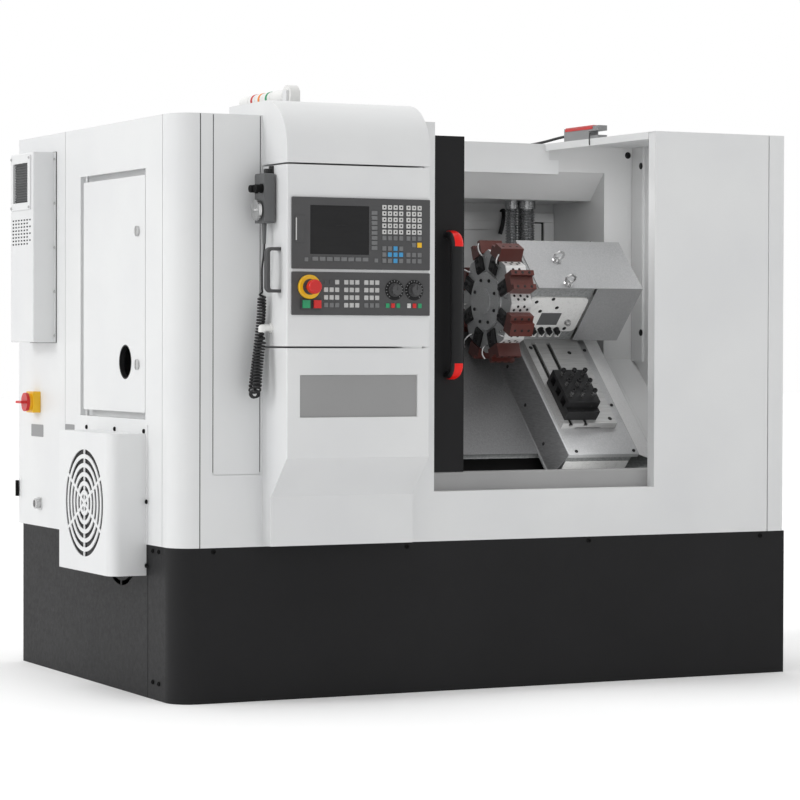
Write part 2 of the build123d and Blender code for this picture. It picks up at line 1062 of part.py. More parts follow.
# Cabinet cooler: side box with a filter frame and staggered perforations
with BuildPart() as cabinet_cooler:
    block(floor, (-cooler_proud, 0), (cooler_front, cooler_rear), (cooler_bottom, cooler_top))
    fillet(cabinet_cooler.edges().group_by(Axis.X)[0], cooler_round)
    for lip_y in (cooler_front - cooler_lip, cooler_rear):
        block(floor, (-sheet, 0), (lip_y, lip_y + cooler_lip), (cooler_bottom, cooler_top))
    block(
        floor,
        (-cooler_proud - filter_proud, 0),
        (filter_y - filter_width / 2, filter_y + filter_width / 2),
        (filter_z - filter_height / 2, filter_z + filter_height / 2),
    )
    block(
        floor,
        (-cooler_proud - overrun, -cooler_proud + filter_sink),
        (filter_y - filter_width / 2 + filter_border, filter_y + filter_width / 2 - filter_border),
        (filter_z - filter_height / 2 + filter_border, filter_z + filter_height / 2 - filter_border),
        Mode.SUBTRACT,
    )
    with BuildSketch(side.offset(-cooler_proud)):
        for stagger in range(2):
            with Locations(
                (filter_y + stagger * perforation_pitch_y / 2, perforation_z - stagger * perforation_pitch_z)
            ):
                with GridLocations(
                    perforation_pitch_y,
                    2 * perforation_pitch_z,
                    perforation_columns - stagger,
                    perforation_rows // 2,
                ):
                    Rectangle(perforation_length, perforation_width)
    extrude(amount=perforation_depth, mode=Mode.SUBTRACT)

# Fan box: rounded sheet box with a round vent and two fixing lips
with BuildPart() as fan_box:
    block(floor, (-fan_proud, 0), (fan_front, fan_rear), (fan_bottom, fan_top))
    fillet(fan_box.edges().filter_by(Axis.Z).group_by(Axis.X)[0].sort_by(Axis.Y)[0], fan_round)
    offset(amount=-sheet, openings=fan_box.faces().sort_by(Axis.X)[-1])
    block(floor, (-sheet, 0), (fan_front, fan_rear), (fan_top, fan_top + fan_lip))
    block(floor, (-sheet, 0), (fan_front - fan_lip / 2, fan_front), (base_height, fan_top + fan_lip))
    vent_slots(side.offset(-fan_proud - overrun), (fan_y, fan_z), fan_radius, 2 * overrun)

# Main switch: square base with a collar, and a red handle that turns in it
switch_centre = (switch_y, switch_z)
collar_face = -switch_depth - switch_collar
with BuildPart() as main_switch_base:
    block(
        floor,
        (-switch_depth, 0),
        (switch_y - switch_size / 2, switch_y + switch_size / 2),
        (switch_z - switch_size / 2, switch_z + switch_size / 2),
    )
    fillet(main_switch_base.edges().filter_by(Axis.X), console_round)
    rod(side.offset(collar_face), switch_centre, switch_collar_radius, switch_collar)
    rod(
        side.offset(collar_face),
        switch_centre,
        switch_stem_radius + run_clearance,
        switch_collar + slip,
        Mode.SUBTRACT,
    )
handle_face = collar_face - slip
with BuildPart() as main_switch_handle:
    handle_back = side.offset(handle_face - switch_handle_depth)
    rod(handle_back, switch_centre, switch_handle_radius, switch_handle_depth)
    block(
        floor,
        (handle_face - switch_handle_depth - switch_grip_proud, handle_face - switch_handle_depth / 2),
        (switch_y - switch_grip_length / 2, switch_y + switch_grip_length / 2),
        (switch_z - switch_grip_width / 2, switch_z + switch_grip_width / 2),
    )
    fillet(main_switch_handle.faces().sort_by(Axis.X)[0].edges(), groove)
    rod(side.offset(handle_face), switch_centre, switch_stem_radius, switch_collar)

# Console column under the control box, with the lower pivot pin
console_width = console_right - console_left
console_top = box_bottom - box_gap
hood_bottom = box_top + box_gap
box_pin = (console_right - box_pivot, box_pivot - console_proud)
console_outline = (
    (0, console_foot_z),
    (-console_foot_proud, console_foot_z),
    (-console_foot_proud, console_bend_low),
    (-console_proud, console_bend_high),
    (-console_proud, console_top),
    (0, console_top),
)
with BuildPart() as console_lower:
    prism(side.offset(console_left), console_outline, console_width)
    fillet(console_lower.edges().filter_by(Axis.Z).group_by(Axis.Y)[0], console_round)
    block(
        floor,
        (recess_left, recess_right),
        (-console_proud - overrun, -console_proud + recess_depth),
        (recess_bottom, recess_top),
        Mode.SUBTRACT,
    )
    rod(floor.offset(console_top), box_pin, box_pivot_radius, box_gap + box_pivot_reach)

# Console hood: rounded head that lies on the roof, with the upper pivot pin
hood_outline = (
    (0, hood_bottom),
    (-console_proud, hood_bottom),
    (-console_proud, hood_top),
    (hood_rear, hood_top),
    (hood_rear, height),
    (0, height),
)
with BuildPart() as console_hood:
    prism(side.offset(console_left), hood_outline, console_width)
    fillet(console_hood.edges().filter_by(Axis.X).group_by(Axis.Z)[-1].sort_by(Axis.Y)[0], hood_radius)
    rod(floor.offset(box_top - box_pivot_reach), box_pin, box_pivot_radius, box_gap + box_pivot_reach)

# Control box that swings on the pins, with the hook of the pendant
pendant_y = pendant_front + pendant_width / 2
with BuildPart() as control_box:
    block(floor, (console_left, console_right), (-console_proud, -box_back_gap), (box_bottom, box_top))
    fillet(control_box.edges().filter_by(Axis.Z).group_by(Axis.Y)[0], box_round)
    for pin_z in (box_bottom, box_top - box_pivot_reach - slip):
        rod(
            floor.offset(pin_z),
            box_pin,
            box_pivot_radius + run_clearance,
            box_pivot_reach + slip,
            Mode.SUBTRACT,
        )
    block(
        floor,
        (pendant_back_x, console_left),
        (pendant_y - hook_width / 2, pendant_y + hook_width / 2),
        (pendant_top - hook_height, pendant_top),
    )

# Screen panel: raised plate with the keys round a sunk screen
plate_face = console_proud + panel_proud
plate_y = (-plate_face, -console_proud)
with BuildPart() as screen_panel:
    block(floor, (panel_left, panel_right), plate_y, (screen_panel_bottom, screen_panel_top))
    fillet(screen_panel.edges().filter_by(Axis.Y), panel_round)
    block(
        floor,
        (screen_left, screen_right),
        (-plate_face - overrun, screen_sink - plate_face),
        (screen_bottom, screen_top),
        Mode.SUBTRACT,
    )
    with BuildSketch(front.offset(plate_face)):
        for block_x, columns, low_z, low_rows in zip(key_block_x, key_block_columns, low_keys_z, low_key_rows):
            with Locations((block_x, keys_z)):
                with GridLocations(key_pitch_x, key_pitch_z, columns, key_rows):
                    Rectangle(key_size, key_size)
            with Locations((block_x, low_z)):
                with GridLocations(key_pitch_x, key_pitch_z, columns, low_rows):
                    Rectangle(key_size, key_size)
        with Locations((key_pair_x, key_pair_z)):
            with GridLocations(key_pitch_x, key_pitch_z, 2, 1):
                Rectangle(key_size, key_size)
        with Locations((softkey_x, softkey_z)):
            with GridLocations(softkey_pitch, softkey_pitch, 1, softkey_rows):
                Rectangle(softkey_width, softkey_height)
        with Locations((softkey_low_x, softkey_low_z)):
            with GridLocations(softkey_low_pitch, softkey_low_pitch, softkey_rows, 1):
                Rectangle(softkey_width, softkey_height)
    extrude(amount=key_proud)

# Display glass in the sunk screen
with BuildPart() as display_screen:
    block(
        floor,
        (screen_left + slip, screen_right - slip),
        (screen_rim - plate_face, screen_sink - plate_face),
        (screen_bottom + slip, screen_top - slip),
    )

# Key panel: raised plate with keys, emergency stop collar, bezels and dial bores
with BuildPart() as key_panel:
    block(floor, (panel_left, panel_right), plate_y, (key_panel_bottom, key_panel_top))
    fillet(key_panel.edges().filter_by(Axis.Y), panel_round)
    with BuildSketch(front.offset(plate_face)):
        for mode_x in mode_block_x:
            with Locations((mode_x, mode_keys_z)):
                with GridLocations(mode_key_pitch_x, mode_key_pitch_z, mode_block_columns, mode_key_rows):
                    Rectangle(key_size, key_size)
    extrude(amount=key_proud)
    rod(front.offset(plate_face), (estop_x, estop_z), estop_collar_radius, estop_collar)
    rod(
        front.offset(plate_face),
        (estop_x, estop_z),
        estop_stem_radius + run_clearance,
        estop_collar,
        Mode.SUBTRACT,
    )
    with BuildSketch(front.offset(plate_face)):
        with Locations(*[(x, push_z) for x in push_x]):
            Rectangle(push_bezel, push_bezel)
            Rectangle(push_size + 2 * slip, push_size + 2 * slip, mode=Mode.SUBTRACT)
    extrude(amount=push_bezel_proud)
    for dial_at in dial_x:
        rod(
            front.offset(console_proud),
            (dial_at, dial_z),
            dial_stem_radius + run_clearance,
            panel_proud,
            Mode.SUBTRACT,
        )

# Emergency stop: mushroom head on a stem that slides in the collar
with BuildPart() as estop_button:
    estop_root = plate_face + estop_collar
    rod(
        front.offset(estop_root - estop_engage),
        (estop_x, estop_z),
        estop_stem_radius,
        estop_engage + estop_proud - estop_head,
    )
    estop_neck = front.offset(estop_root + estop_proud - estop_head)
    rod(estop_neck, (estop_x, estop_z), estop_head_radius, estop_head)
    fillet(estop_button.edges().filter_by(GeomType.CIRCLE).sort_by(Axis.Y)[0], overrun)


def push_button(x):
    """Square push button that slides in its bezel."""
    with BuildPart() as cap:
        with BuildSketch(front.offset(plate_face + push_travel + slip)):
            with Locations((x, push_z)):
                Rectangle(push_size, push_size)
        extrude(amount=push_proud - push_travel - slip)
    return cap


start_button = push_button(push_x[0])
stop_button = push_button(push_x[1])


def override_dial(x):
    """Skirted dial with a pointer groove, on a stem in the key panel."""
    with BuildPart() as dial:
        rod(front.offset(plate_face + slip), (x, dial_z), dial_skirt_radius, dial_skirt)
        rod(front.offset(plate_face + slip), (x, dial_z), dial_radius, dial_proud)
        rod(front.offset(plate_face - dial_stem), (x, dial_z), dial_stem_radius, dial_stem + dial_skirt)
        block(
            floor,
            (x - groove, x + groove),
            (-plate_face - slip - dial_proud - overrun, groove - plate_face - slip - dial_proud),
            (dial_z, dial_z + dial_radius),
            Mode.SUBTRACT,
        )
    return dial


feed_dial = override_dial(dial_x[0])
speed_dial = override_dial(dial_x[1])

# Grab handle on the left of the control box
grab_outline = (
    (console_left, grab_top),
    (console_left - grab_reach, grab_top),
    (console_left - grab_reach, grab_bottom),
    (console_left, grab_bottom),
)
with BuildPart() as grab_handle:
    folded(
        front.offset(-grab_y - grab_depth / 2),
        grab_outline,
        grab_chamfer,
        grab_depth,
        Side.LEFT,
        grab_thickness,
    )

# Hand pendant: rounded case with two selectors and a strain relief
pendant_face = pendant_back_x - pendant_thickness
with BuildPart() as pendant_body:
    block(
        floor,
        (pendant_face, pendant_back_x),
        (pendant_front, pendant_front + pendant_width),
        (pendant_bottom, pendant_top),
    )
    fillet(pendant_body.edges().filter_by(Axis.X), pendant_round)
    for spread in (-selector_spread, selector_spread):
        rod(
            side.offset(pendant_face - selector_proud),
            (pendant_y + spread, selector_z),
            selector_radius,
            selector_proud,
        )
    with Locations(floor.location * Location((*lead_route[0][:2], pendant_bottom))):
        Cone(boot_tip_radius, boot_radius, boot_length, align=(Align.CENTER, Align.CENTER, Align.MAX))
    rod(
        side.offset(pendant_face),
        (pendant_y, wheel_z),
        wheel_stem_radius + run_clearance,
        wheel_stem + slip,
        Mode.SUBTRACT,
    )

# Handwheel of the pendant, with a small crank
with BuildPart() as handwheel:
    wheel_face = pendant_face - wheel_gap - wheel_rim
    rod(side.offset(wheel_face), (pendant_y, wheel_z), wheel_radius, wheel_rim)
    rod(side.offset(wheel_face), (pendant_y, wheel_z), wheel_hub_radius, wheel_rim + wheel_gap - slip)
    rod(side.offset(wheel_face), (pendant_y, wheel_z), wheel_stem_radius, wheel_rim + wheel_gap + wheel_stem)
    rod(
        side.offset(wheel_face - wheel_crank),
        (pendant_y - wheel_crank_reach, wheel_z),
        wheel_crank_radius,
        wheel_crank,
    )

# Elbow gland where the curly cord enters the control box
with BuildPart() as cord_gland:
    rod(side.offset(gland_x), (gland_y, gland_z), gland_radius, console_left - gland_x)
    rod(side.offset(console_left - gland_flange), (gland_y, gland_z), gland_flange_radius, gland_flange)
    rod(floor.offset(gland_z - gland_drop), (gland_x, gland_y), gland_radius, gland_drop)
    with Locations(floor.location * Location((gland_x, gland_y, gland_z))):
        Sphere(gland_radius)


def bend_radii(points):
    """Radius of each bend, a share of the shorter run beside it."""
    radii = []
    for start, corner, end in zip(points, points[1:], points[2:]):
        turn = (corner - start).get_angle(end - corner)
        run = min((corner - start).length, (end - corner).length)
        radii.append(bend_share * run / math.tan(math.radians(turn / 2)))
    return radii


def cord(route, radius):
    """Round cord along a route of straight runs and tangent bends."""
    points = [floor.from_local_coords(Vector(*point)) for point in route]
    with BuildPart() as tube:
        with BuildLine() as path:
            FilletPolyline(*points, radius=bend_radii(points))
        with BuildSketch(Plane(origin=path.line @ 0, z_dir=path.line % 0)):
            Circle(radius)
        sweep(path=path.line)
    return tube


pendant_lead = cord(lead_route, lead_radius)
curly_cord = cord(curl_route, curl_radius)

# Work area liner: walls, bent back, fixed way covers, trough and light post
fixed_drop = cover_apron_drop + sheet + slip
liner_edge = bed_front - bed_clearance
slope_rear = fascia_y + slope_top_z - slope_bottom_z


def liner_floor(y):
    """Height of the walls' slanted lower edge at a depth."""
    return y + spindle_z - spindle_y - (fixed_drop + sheet) * math.sqrt(2)


low_edge = (
    (liner_front, trough_z - sheet),
    (liner_edge, trough_z - sheet),
    (liner_edge, liner_floor(liner_edge)),
)
back_edge = (
    (liner_rear, liner_floor(liner_rear)),
    (liner_rear, slope_bottom_z),
    (slope_rear, slope_bottom_z),
    (fascia_y, slope_top_z),
)
left_wall = low_edge + back_edge + ((fascia_y, liner_top), (liner_front, liner_top))
right_wall = low_edge + (
    (fascia_y, liner_floor(fascia_y)),
    (fascia_y, height - sheet),
    (liner_front, height - sheet),
)
alcove_wall = ((fascia_y, liner_floor(fascia_y)),) + back_edge
back_sheet = (
    (fascia_y, slope_top_z),
    (slope_rear, slope_bottom_z),
    (liner_rear, slope_bottom_z),
    (liner_rear, bed_top),
)
with BuildPart() as work_area_liner:
    prism(side.offset(liner_left), left_wall, sheet)
    rod(
        side.offset(liner_left - overrun),
        spindle_centre,
        nose_hole_radius,
        sheet + 2 * overrun,
        Mode.SUBTRACT,
    )
    prism(side.offset(liner_right), right_wall, sheet)
    prism(side.offset(alcove_right), alcove_wall, sheet)
    block(
        floor,
        (alcove_right, liner_right + sheet),
        (fascia_y, fascia_y + sheet),
        (liner_floor(fascia_y + sheet), height - sheet),
    )
    block(
        floor,
        (roof_cut_right, alcove_right + sheet),
        (fascia_y, fascia_y + sheet),
        (slope_top_z - sheet, height - sheet),
    )
    folded(side.offset(liner_left), back_sheet, liner_bend, alcove_right + sheet - liner_left)
    for cover_x in ((liner_left, fixed_cover_right), (right_cover_left, liner_right)):
        block(slant, cover_x, (way_cover_low, way_cover_high), (-fixed_drop - sheet, -fixed_drop))
    block(floor, (liner_left, liner_right), (liner_front, liner_edge), (trough_z - sheet, trough_z))
    block(
        floor,
        (liner_right - post_proud, liner_right),
        (roof_cut_y - post_width, roof_cut_y),
        (liner_floor(roof_cut_y), height - sheet),
    )
    emboss_y = (liner_rear - emboss_proud, liner_rear)
    block(floor, (emboss_left, emboss_right), emboss_y, (emboss_bottom, emboss_top))
    block(
        floor,
        (emboss_left + emboss_border, emboss_right - emboss_border),
        emboss_y,
        (emboss_bottom + emboss_border, emboss_top - emboss_border),
        Mode.SUBTRACT,
    )

# Conduits from the junction box on the bed to the top of the liner
with BuildPart() as cable_conduits:
    block(floor, (junction_left, junction_right), (junction_front, liner_rear), (bed_top, junction_top))
    for conduit_at, conduit_radius in zip(conduit_x, conduit_radii):
        conduit_rise = slope_bottom_z - junction_top
        rod(floor.offset(junction_top), (conduit_at, conduit_y), conduit_radius, conduit_rise)
        for collar_z in (junction_top, slope_bottom_z - conduit_collar_length):
            rod(
                floor.offset(collar_z),
                (conduit_at, conduit_y),
                conduit_radius + conduit_collar,
                conduit_collar_length,
            )

# Saddle that rides on the ways, with the raised guide of the cross slide
with BuildPart() as saddle:
    block(
        slant,
        (saddle_left, saddle_right),
        (saddle_low, saddle_high),
        (saddle_gap - bed_drop, -cover_drop - sheet),
    )
    block(
        slant,
        (guide_left, guide_right),
        (guide_low, guide_high),
        (-cover_drop - sheet, guide_rise - cover_drop),
    )
    for way in (way_low, way_high):
        block(
            slant,
            (saddle_left - overrun, saddle_right + overrun),
            (way - slip, way + way_width + slip),
            (-bed_drop, way_height - bed_drop + slip),
            Mode.SUBTRACT,
        )

# Bent cover on the saddle, slotted round the guide
cover_outline = (
    (cover_left, -cover_apron_drop),
    (cover_fold_left, -cover_apron_drop),
    (cover_flat_left, -cover_drop),
    (cover_flat_right, -cover_drop),
    (cover_right, -cover_right_drop),
)
with BuildPart() as way_cover:
    folded(
        across.offset(-cover_high),
        cover_outline,
        liner_bend,
        cover_high - cover_low,
        Side.RIGHT,
    )
    block(
        slant,
        (cover_left - overrun, cover_fold_left - overrun),
        (cover_low - overrun, way_cover_low),
        (-cover_apron_drop - overrun, overrun - cover_apron_drop),
        Mode.SUBTRACT,
    )
    block(
        slant,
        (guide_left - seam, guide_right + seam),
        (guide_low - seam, guide_high + seam),
        (-cover_drop - overrun, overrun - cover_drop),
        Mode.SUBTRACT,
    )
    block(
        slant,
        (cover_flat_left, cover_flat_right),
        (cover_low, cover_low + sheet),
        (-cover_drop - cover_lip, -cover_drop),
    )

# Slotted table of the cross slide
with BuildPart() as slotted_table:
    block(slant, (table_left, table_right), (table_low, table_high), (slip - cover_drop, -table_drop))
    block(
        slant,
        (guide_left - slip, guide_right + slip),
        (table_low - overrun, table_high + overrun),
        (-cover_drop, guide_rise + slip - cover_drop),
        Mode.SUBTRACT,
    )
    for slot_at in slot_x:
        block(
            slant,
            (slot_at - slot_width / 2, slot_at + slot_width / 2),
            (table_low - overrun, slot_high),
            (-table_drop - slot_depth, overrun - table_drop),
            Mode.SUBTRACT,
        )

# Gang tool block: tool slots in the left face, clamping screws on top
gang_x = (gang_left + gang_right) / 2
gang_s = gang_slot_first + gang_slot_pitch * (gang_slot_count - 1) / 2
with BuildPart() as gang_tool_block:
    block(slant, (gang_left, gang_right), (gang_low, gang_high), (-table_drop, gang_height - table_drop))
    fillet(gang_tool_block.edges().filter_by(Axis.X), gang_round)
    block(
        slant,
        (gang_left, gang_right),
        (gang_foot_low, gang_low + gang_round),
        (-table_drop, gang_foot_height - table_drop),
    )
    for tool in range(gang_slot_count):
        tool_s = gang_slot_first + tool * gang_slot_pitch
        block(
            slant,
            (gang_left - overrun, gang_left + gang_slot_depth),
            (tool_s - gang_slot / 2, tool_s + gang_slot / 2),
            (gang_slot_lift - table_drop, gang_slot_lift + gang_slot - table_drop),
            Mode.SUBTRACT,
        )
    with BuildSketch(slant.offset(gang_height - table_drop)):
        with Locations((gang_x, gang_s)):
            with GridLocations(gang_screw_pitch, gang_slot_pitch, gang_screw_columns, gang_slot_count):
                Circle(gang_screw_radius)
    extrude(amount=gang_screw_proud)

# Turret housing with the bore of the disc and a row of coolant ports
turret_lift = turret_s / math.sqrt(2)
turret_centre = (spindle_y + turret_lift, spindle_z + turret_lift)
turret_back = turret_face + turret_thickness
with BuildPart() as turret_housing:
    block(
        slant,
        (housing_left, housing_right),
        (housing_low, housing_high),
        (-table_drop, shroud_crown - sheet),
    )
    rod(
        side.offset(housing_left),
        turret_centre,
        turret_spigot_radius + run_clearance,
        turret_back + turret_spigot + slip - housing_left,
        Mode.SUBTRACT,
    )
    for port in range(port_count):
        rod(
            across.offset(-housing_low),
            (port_x + port * port_pitch, port_n),
            port_radius,
            -port_depth,
            Mode.SUBTRACT,
        )

# Sheet cover over the turret housing, open at the left
with BuildPart() as turret_cover:
    cover_n = (-shroud_drop, shroud_crown)
    across_s = (shroud_low, shroud_high)
    block(slant, (shroud_left, shroud_right), across_s, (shroud_crown - sheet, shroud_crown))
    block(slant, (shroud_apron_left, shroud_right), (shroud_low, shroud_low + sheet), cover_n)
    block(slant, (shroud_right - sheet, shroud_right), across_s, cover_n)
    block(slant, (shroud_left, shroud_right), (shroud_high - sheet, shroud_high), cover_n)

# Turret disc: eight flats, stepped hub and the spigot in the housing
dial_plane = Plane(
    origin=(turret_face - center_x, turret_centre[0] - center_y, turret_centre[1]),
    x_dir=(0, 1, 0),
    z_dir=(1, 0, 0),
)
half_station = 180 / turret_stations
with BuildPart() as turret_disc:
    with BuildSketch(dial_plane):
        RegularPolygon(
            turret_radius, turret_stations, major_radius=False, rotation=turret_first_angle - half_station
        )
    extrude(amount=turret_thickness)
    rod(dial_plane.offset(-turret_hub_proud), (0, 0), turret_hub_radius, turret_hub_proud)
    rod(
        dial_plane.offset(-turret_hub_proud - turret_cap_proud), (0, 0), turret_cap_radius, turret_cap_proud
    )
    rod(dial_plane.offset(turret_thickness), (0, 0), turret_spigot_radius, turret_spigot)

station_places = [
    dial_plane.location * Location((0, 0, 0), (0, 0, turret_first_angle + 2 * half_station * station))
    for station in range(turret_stations)
]

# Tool holders on the flats of the disc, with a stepped seat and a channel in turn
holder_seats = (
    (-holder_width / 2 - overrun, holder_ledge - holder_width / 2),
    (-holder_channel / 2, holder_channel / 2),
)
with BuildPart() as tool_holders:
    for number, place in enumerate(station_places):
        station = Plane(place)
        rim = turret_radius + holder_height
        along = (-holder_overhang, holder_length - holder_overhang)
        block(station, (turret_radius, rim), (-holder_width / 2, holder_width / 2), along)
        block(
            station,
            (rim - holder_step, rim + overrun),
            holder_seats[number % len(holder_seats)],
            (-holder_overhang - overrun, holder_length),
            Mode.SUBTRACT,
        )

# Clamping wedges on the face of the disc
with BuildPart() as tool_clamps:
    for place in station_places:
        block(
            Plane(place),
            (clamp_inner, clamp_inner + clamp_length),
            (-clamp_width / 2, clamp_width / 2),
            (-clamp_proud, 0),
        )
    chamfer(tool_clamps.faces().sort_by(Axis.X)[:turret_stations].edges(), clamp_chamfer)

# Sliding door: pan with a window, on the track
door_rear = door_front + door_depth
door_bottom = track_top + slip
with BuildPart() as door_panel:
    block(floor, (door_left, door_right), (door_front, door_rear), (door_bottom, door_top))
    block(
        floor,
        (door_left + door_frame, door_right - door_frame),
        (door_front + sheet, door_rear + overrun),
        (door_bottom + door_frame, door_top - door_frame),
        Mode.SUBTRACT,
    )
    with BuildSketch(front.offset(-door_front)):
        with Locations(((window_left + window_right) / 2, (window_bottom + window_top) / 2)):
            RectangleRounded(window_right - window_left, window_top - window_bottom, window_round)
    extrude(amount=-sheet, mode=Mode.SUBTRACT)

# Window pane behind the skin of the door
with BuildPart() as door_window:
    block(
        floor,
        (window_left - window_lap, window_right + window_lap),
        (door_front + sheet, door_front + sheet + glass),
        (window_bottom - window_lap, window_top + window_lap),
    )

# Top wing of the door, folded up at its rear edge
with BuildPart() as door_wing:
    folded(
        side.offset(door_left),
        ((door_rear, wing_z), (wing_rear, wing_z), (wing_rear, wing_z + wing_fold)),
        wing_bend,
        door_right - door_left,
    )

# Door track over the sill
track_rear = track_front + track_depth
with BuildPart() as door_track:
    folded(
        side.offset(track_left),
        (
            (track_front, sill - sheet),
            (track_front, track_top),
            (track_rear, track_top),
            (track_rear, sill - sheet),
        ),
        track_bend,
        track_right - track_left,
        Side.RIGHT,
    )

# Door handle: oval bar
handle_y = door_front - handle_proud + handle_depth / 2
with BuildPart() as door_handle:
    with BuildSketch(floor.offset(handle_low_z + handle_bend)):
        with Locations((handle_x, handle_y)):
            Ellipse(handle_width / 2, handle_depth / 2)
    extrude(amount=handle_high_z - handle_low_z - 2 * handle_bend)


def handle_elbow(z, rise):
    """Oval elbow from the door face to the end of the bar."""
    points = [
        floor.from_local_coords(Vector(handle_x, door_front, z)),
        floor.from_local_coords(Vector(handle_x, handle_y, z)),
        floor.from_local_coords(Vector(handle_x, handle_y, z + rise)),
    ]
    with BuildLine() as bow:
        FilletPolyline(*points, radius=cap_bend_share * handle_bend)
    with BuildSketch(Plane(origin=bow.line @ 0, x_dir=(1, 0, 0), z_dir=bow.line % 0)) as oval:
        Ellipse(handle_width / 2, handle_depth / 2)
    sweep(oval.sketch, path=bow.line)


# Red elbows at both ends of the handle
with BuildPart() as handle_caps:
    handle_elbow(handle_low_z, handle_bend)
    handle_elbow(handle_high_z, -handle_bend)

# Tower lamp: banded column with a round hub on the pin of its foot
with BuildPart() as tower_lamp:
    rod(front.offset(-lamp_y - lamp_length), (lamp_x, lamp_z), lamp_radius, lamp_length - lamp_neck)
    for share in lamp_band_share:
        with BuildSketch(front.offset(-lamp_y - share * lamp_length)) as ring:
            with Locations((lamp_x, lamp_z)):
                Circle(lamp_radius)
                Circle(lamp_radius - lamp_band_groove, mode=Mode.SUBTRACT)
        extrude(amount=lamp_band_gap, mode=Mode.SUBTRACT)
    rod(side.offset(lamp_x - lamp_hub_width / 2), (lamp_y, lamp_z), lamp_hub_radius, lamp_hub_width)
    rod(
        side.offset(lamp_x - lamp_hub_width / 2),
        (lamp_y, lamp_z),
        lamp_pin_radius + run_clearance,
        lamp_hub_width,
        Mode.SUBTRACT,
    )

# Door interlock switch: base on the roof, body with a key end
with BuildPart() as interlock_switch:
    interlock_rear = interlock_front + interlock_length
    block(
        floor,
        (interlock_x, interlock_x + interlock_width),
        (interlock_front, interlock_rear),
        (height, height + interlock_base),
    )
    block(
        floor,
        (interlock_x, interlock_x + interlock_width),
        (interlock_front + interlock_slot_length, interlock_rear),
        (height, height + interlock_height),
    )
    block(
        floor,
        (interlock_x, interlock_x + interlock_width),
        (interlock_front, interlock_front + interlock_slot_length),
        (height + interlock_base + interlock_slot_height, height + interlock_height),
    )
    fillet(interlock_switch.edges().filter_by(Axis.Z).group_by(Axis.Y)[0], console_round)

pieces = {
    "base_skirt": base_skirt,
    "bed_casting": bed_casting,
    "headstock": headstock,
    "spindle": spindle,
    "chuck": chuck,
    "spindle_motor": spindle_motor,
    "motor_pulley": motor_pulley,
    "drive_belt": drive_belt,
    "front_left_panel": front_left_panel,
    "access_panel": access_panel,
    "front_panel": front_panel,
    "right_side_panel": right_side_panel,
    "rear_panel": rear_panel,
    "roof_panel": roof_panel,
    "left_side_panel": left_side_panel,
    "side_door": side_door,
    "side_latch_lower": side_latch_lower,
    "side_latch_upper": side_latch_upper,
    "electrical_cabinet": electrical_cabinet,
    "cabinet_rear_door": cabinet_rear_door,
    "cabinet_cooler": cabinet_cooler,
    "fan_box": fan_box,
    "main_switch_base": main_switch_base,
    "main_switch_handle": main_switch_handle,
    "console_lower": console_lower,
    "console_hood": console_hood,
    "control_box": control_box,
    "screen_panel": screen_panel,
    "display_screen": display_screen,
    "key_panel": key_panel,
    "estop_button": estop_button,
    "start_button": start_button,
    "stop_button": stop_button,
    "feed_dial": feed_dial,
    "speed_dial": speed_dial,
    "grab_handle": grab_handle,
    "pendant_body": pendant_body,
    "handwheel": handwheel,
    "cord_gland": cord_gland,
    "pendant_lead": pendant_lead,
    "curly_cord": curly_cord,
    "work_area_liner": work_area_liner,
    "cable_conduits": cable_conduits,
    "saddle": saddle,
    "way_cover": way_cover,
    "slotted_table": slotted_table,
    "gang_tool_block": gang_tool_block,
    "turret_housing": turret_housing,
    "turret_cover": turret_cover,
    "turret_disc": turret_disc,
    "tool_holders": tool_holders,
    "tool_clamps": tool_clamps,
    "door_panel": door_panel,
    "door_window": door_window,
    "door_wing": door_wing,
    "door_track": door_track,
    "door_handle": door_handle,
    "handle_caps": handle_caps,
    "tower_lamp": tower_lamp,
    "interlock_switch": interlock_switch,
}
for name, piece in pieces.items():
    piece.part.label = name
    export_step(piece.part, f"parts/{name}.step")
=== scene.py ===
"""Looks of a turning lathe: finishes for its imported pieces, and the small fittings that sit on them."""

import math

import bpy
import numpy as np
from mathutils import Matrix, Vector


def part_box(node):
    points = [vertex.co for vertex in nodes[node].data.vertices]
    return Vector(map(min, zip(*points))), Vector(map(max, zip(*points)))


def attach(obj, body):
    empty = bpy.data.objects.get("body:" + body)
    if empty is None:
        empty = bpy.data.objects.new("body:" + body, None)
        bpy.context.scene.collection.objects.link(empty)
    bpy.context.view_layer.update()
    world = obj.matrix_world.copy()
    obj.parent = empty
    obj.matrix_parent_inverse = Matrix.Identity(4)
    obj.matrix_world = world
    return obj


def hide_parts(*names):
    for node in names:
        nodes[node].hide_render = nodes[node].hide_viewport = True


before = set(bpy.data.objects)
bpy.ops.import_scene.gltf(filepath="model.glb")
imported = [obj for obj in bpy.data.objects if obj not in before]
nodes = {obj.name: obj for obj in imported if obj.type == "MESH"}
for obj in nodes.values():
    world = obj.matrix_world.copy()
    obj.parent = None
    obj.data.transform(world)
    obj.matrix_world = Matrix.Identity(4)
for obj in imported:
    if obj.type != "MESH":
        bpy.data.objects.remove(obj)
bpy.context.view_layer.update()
scene = bpy.context.scene

# Lengths are millimetres from the front left foot of the plinth; the slant runs through the spindle's axis
MM = 0.001
FOOT = np.array(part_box("base_skirt")[0])
SLOPE = math.sqrt(0.5)
AXIS_Y, AXIS_Z = 386.0, 954.0

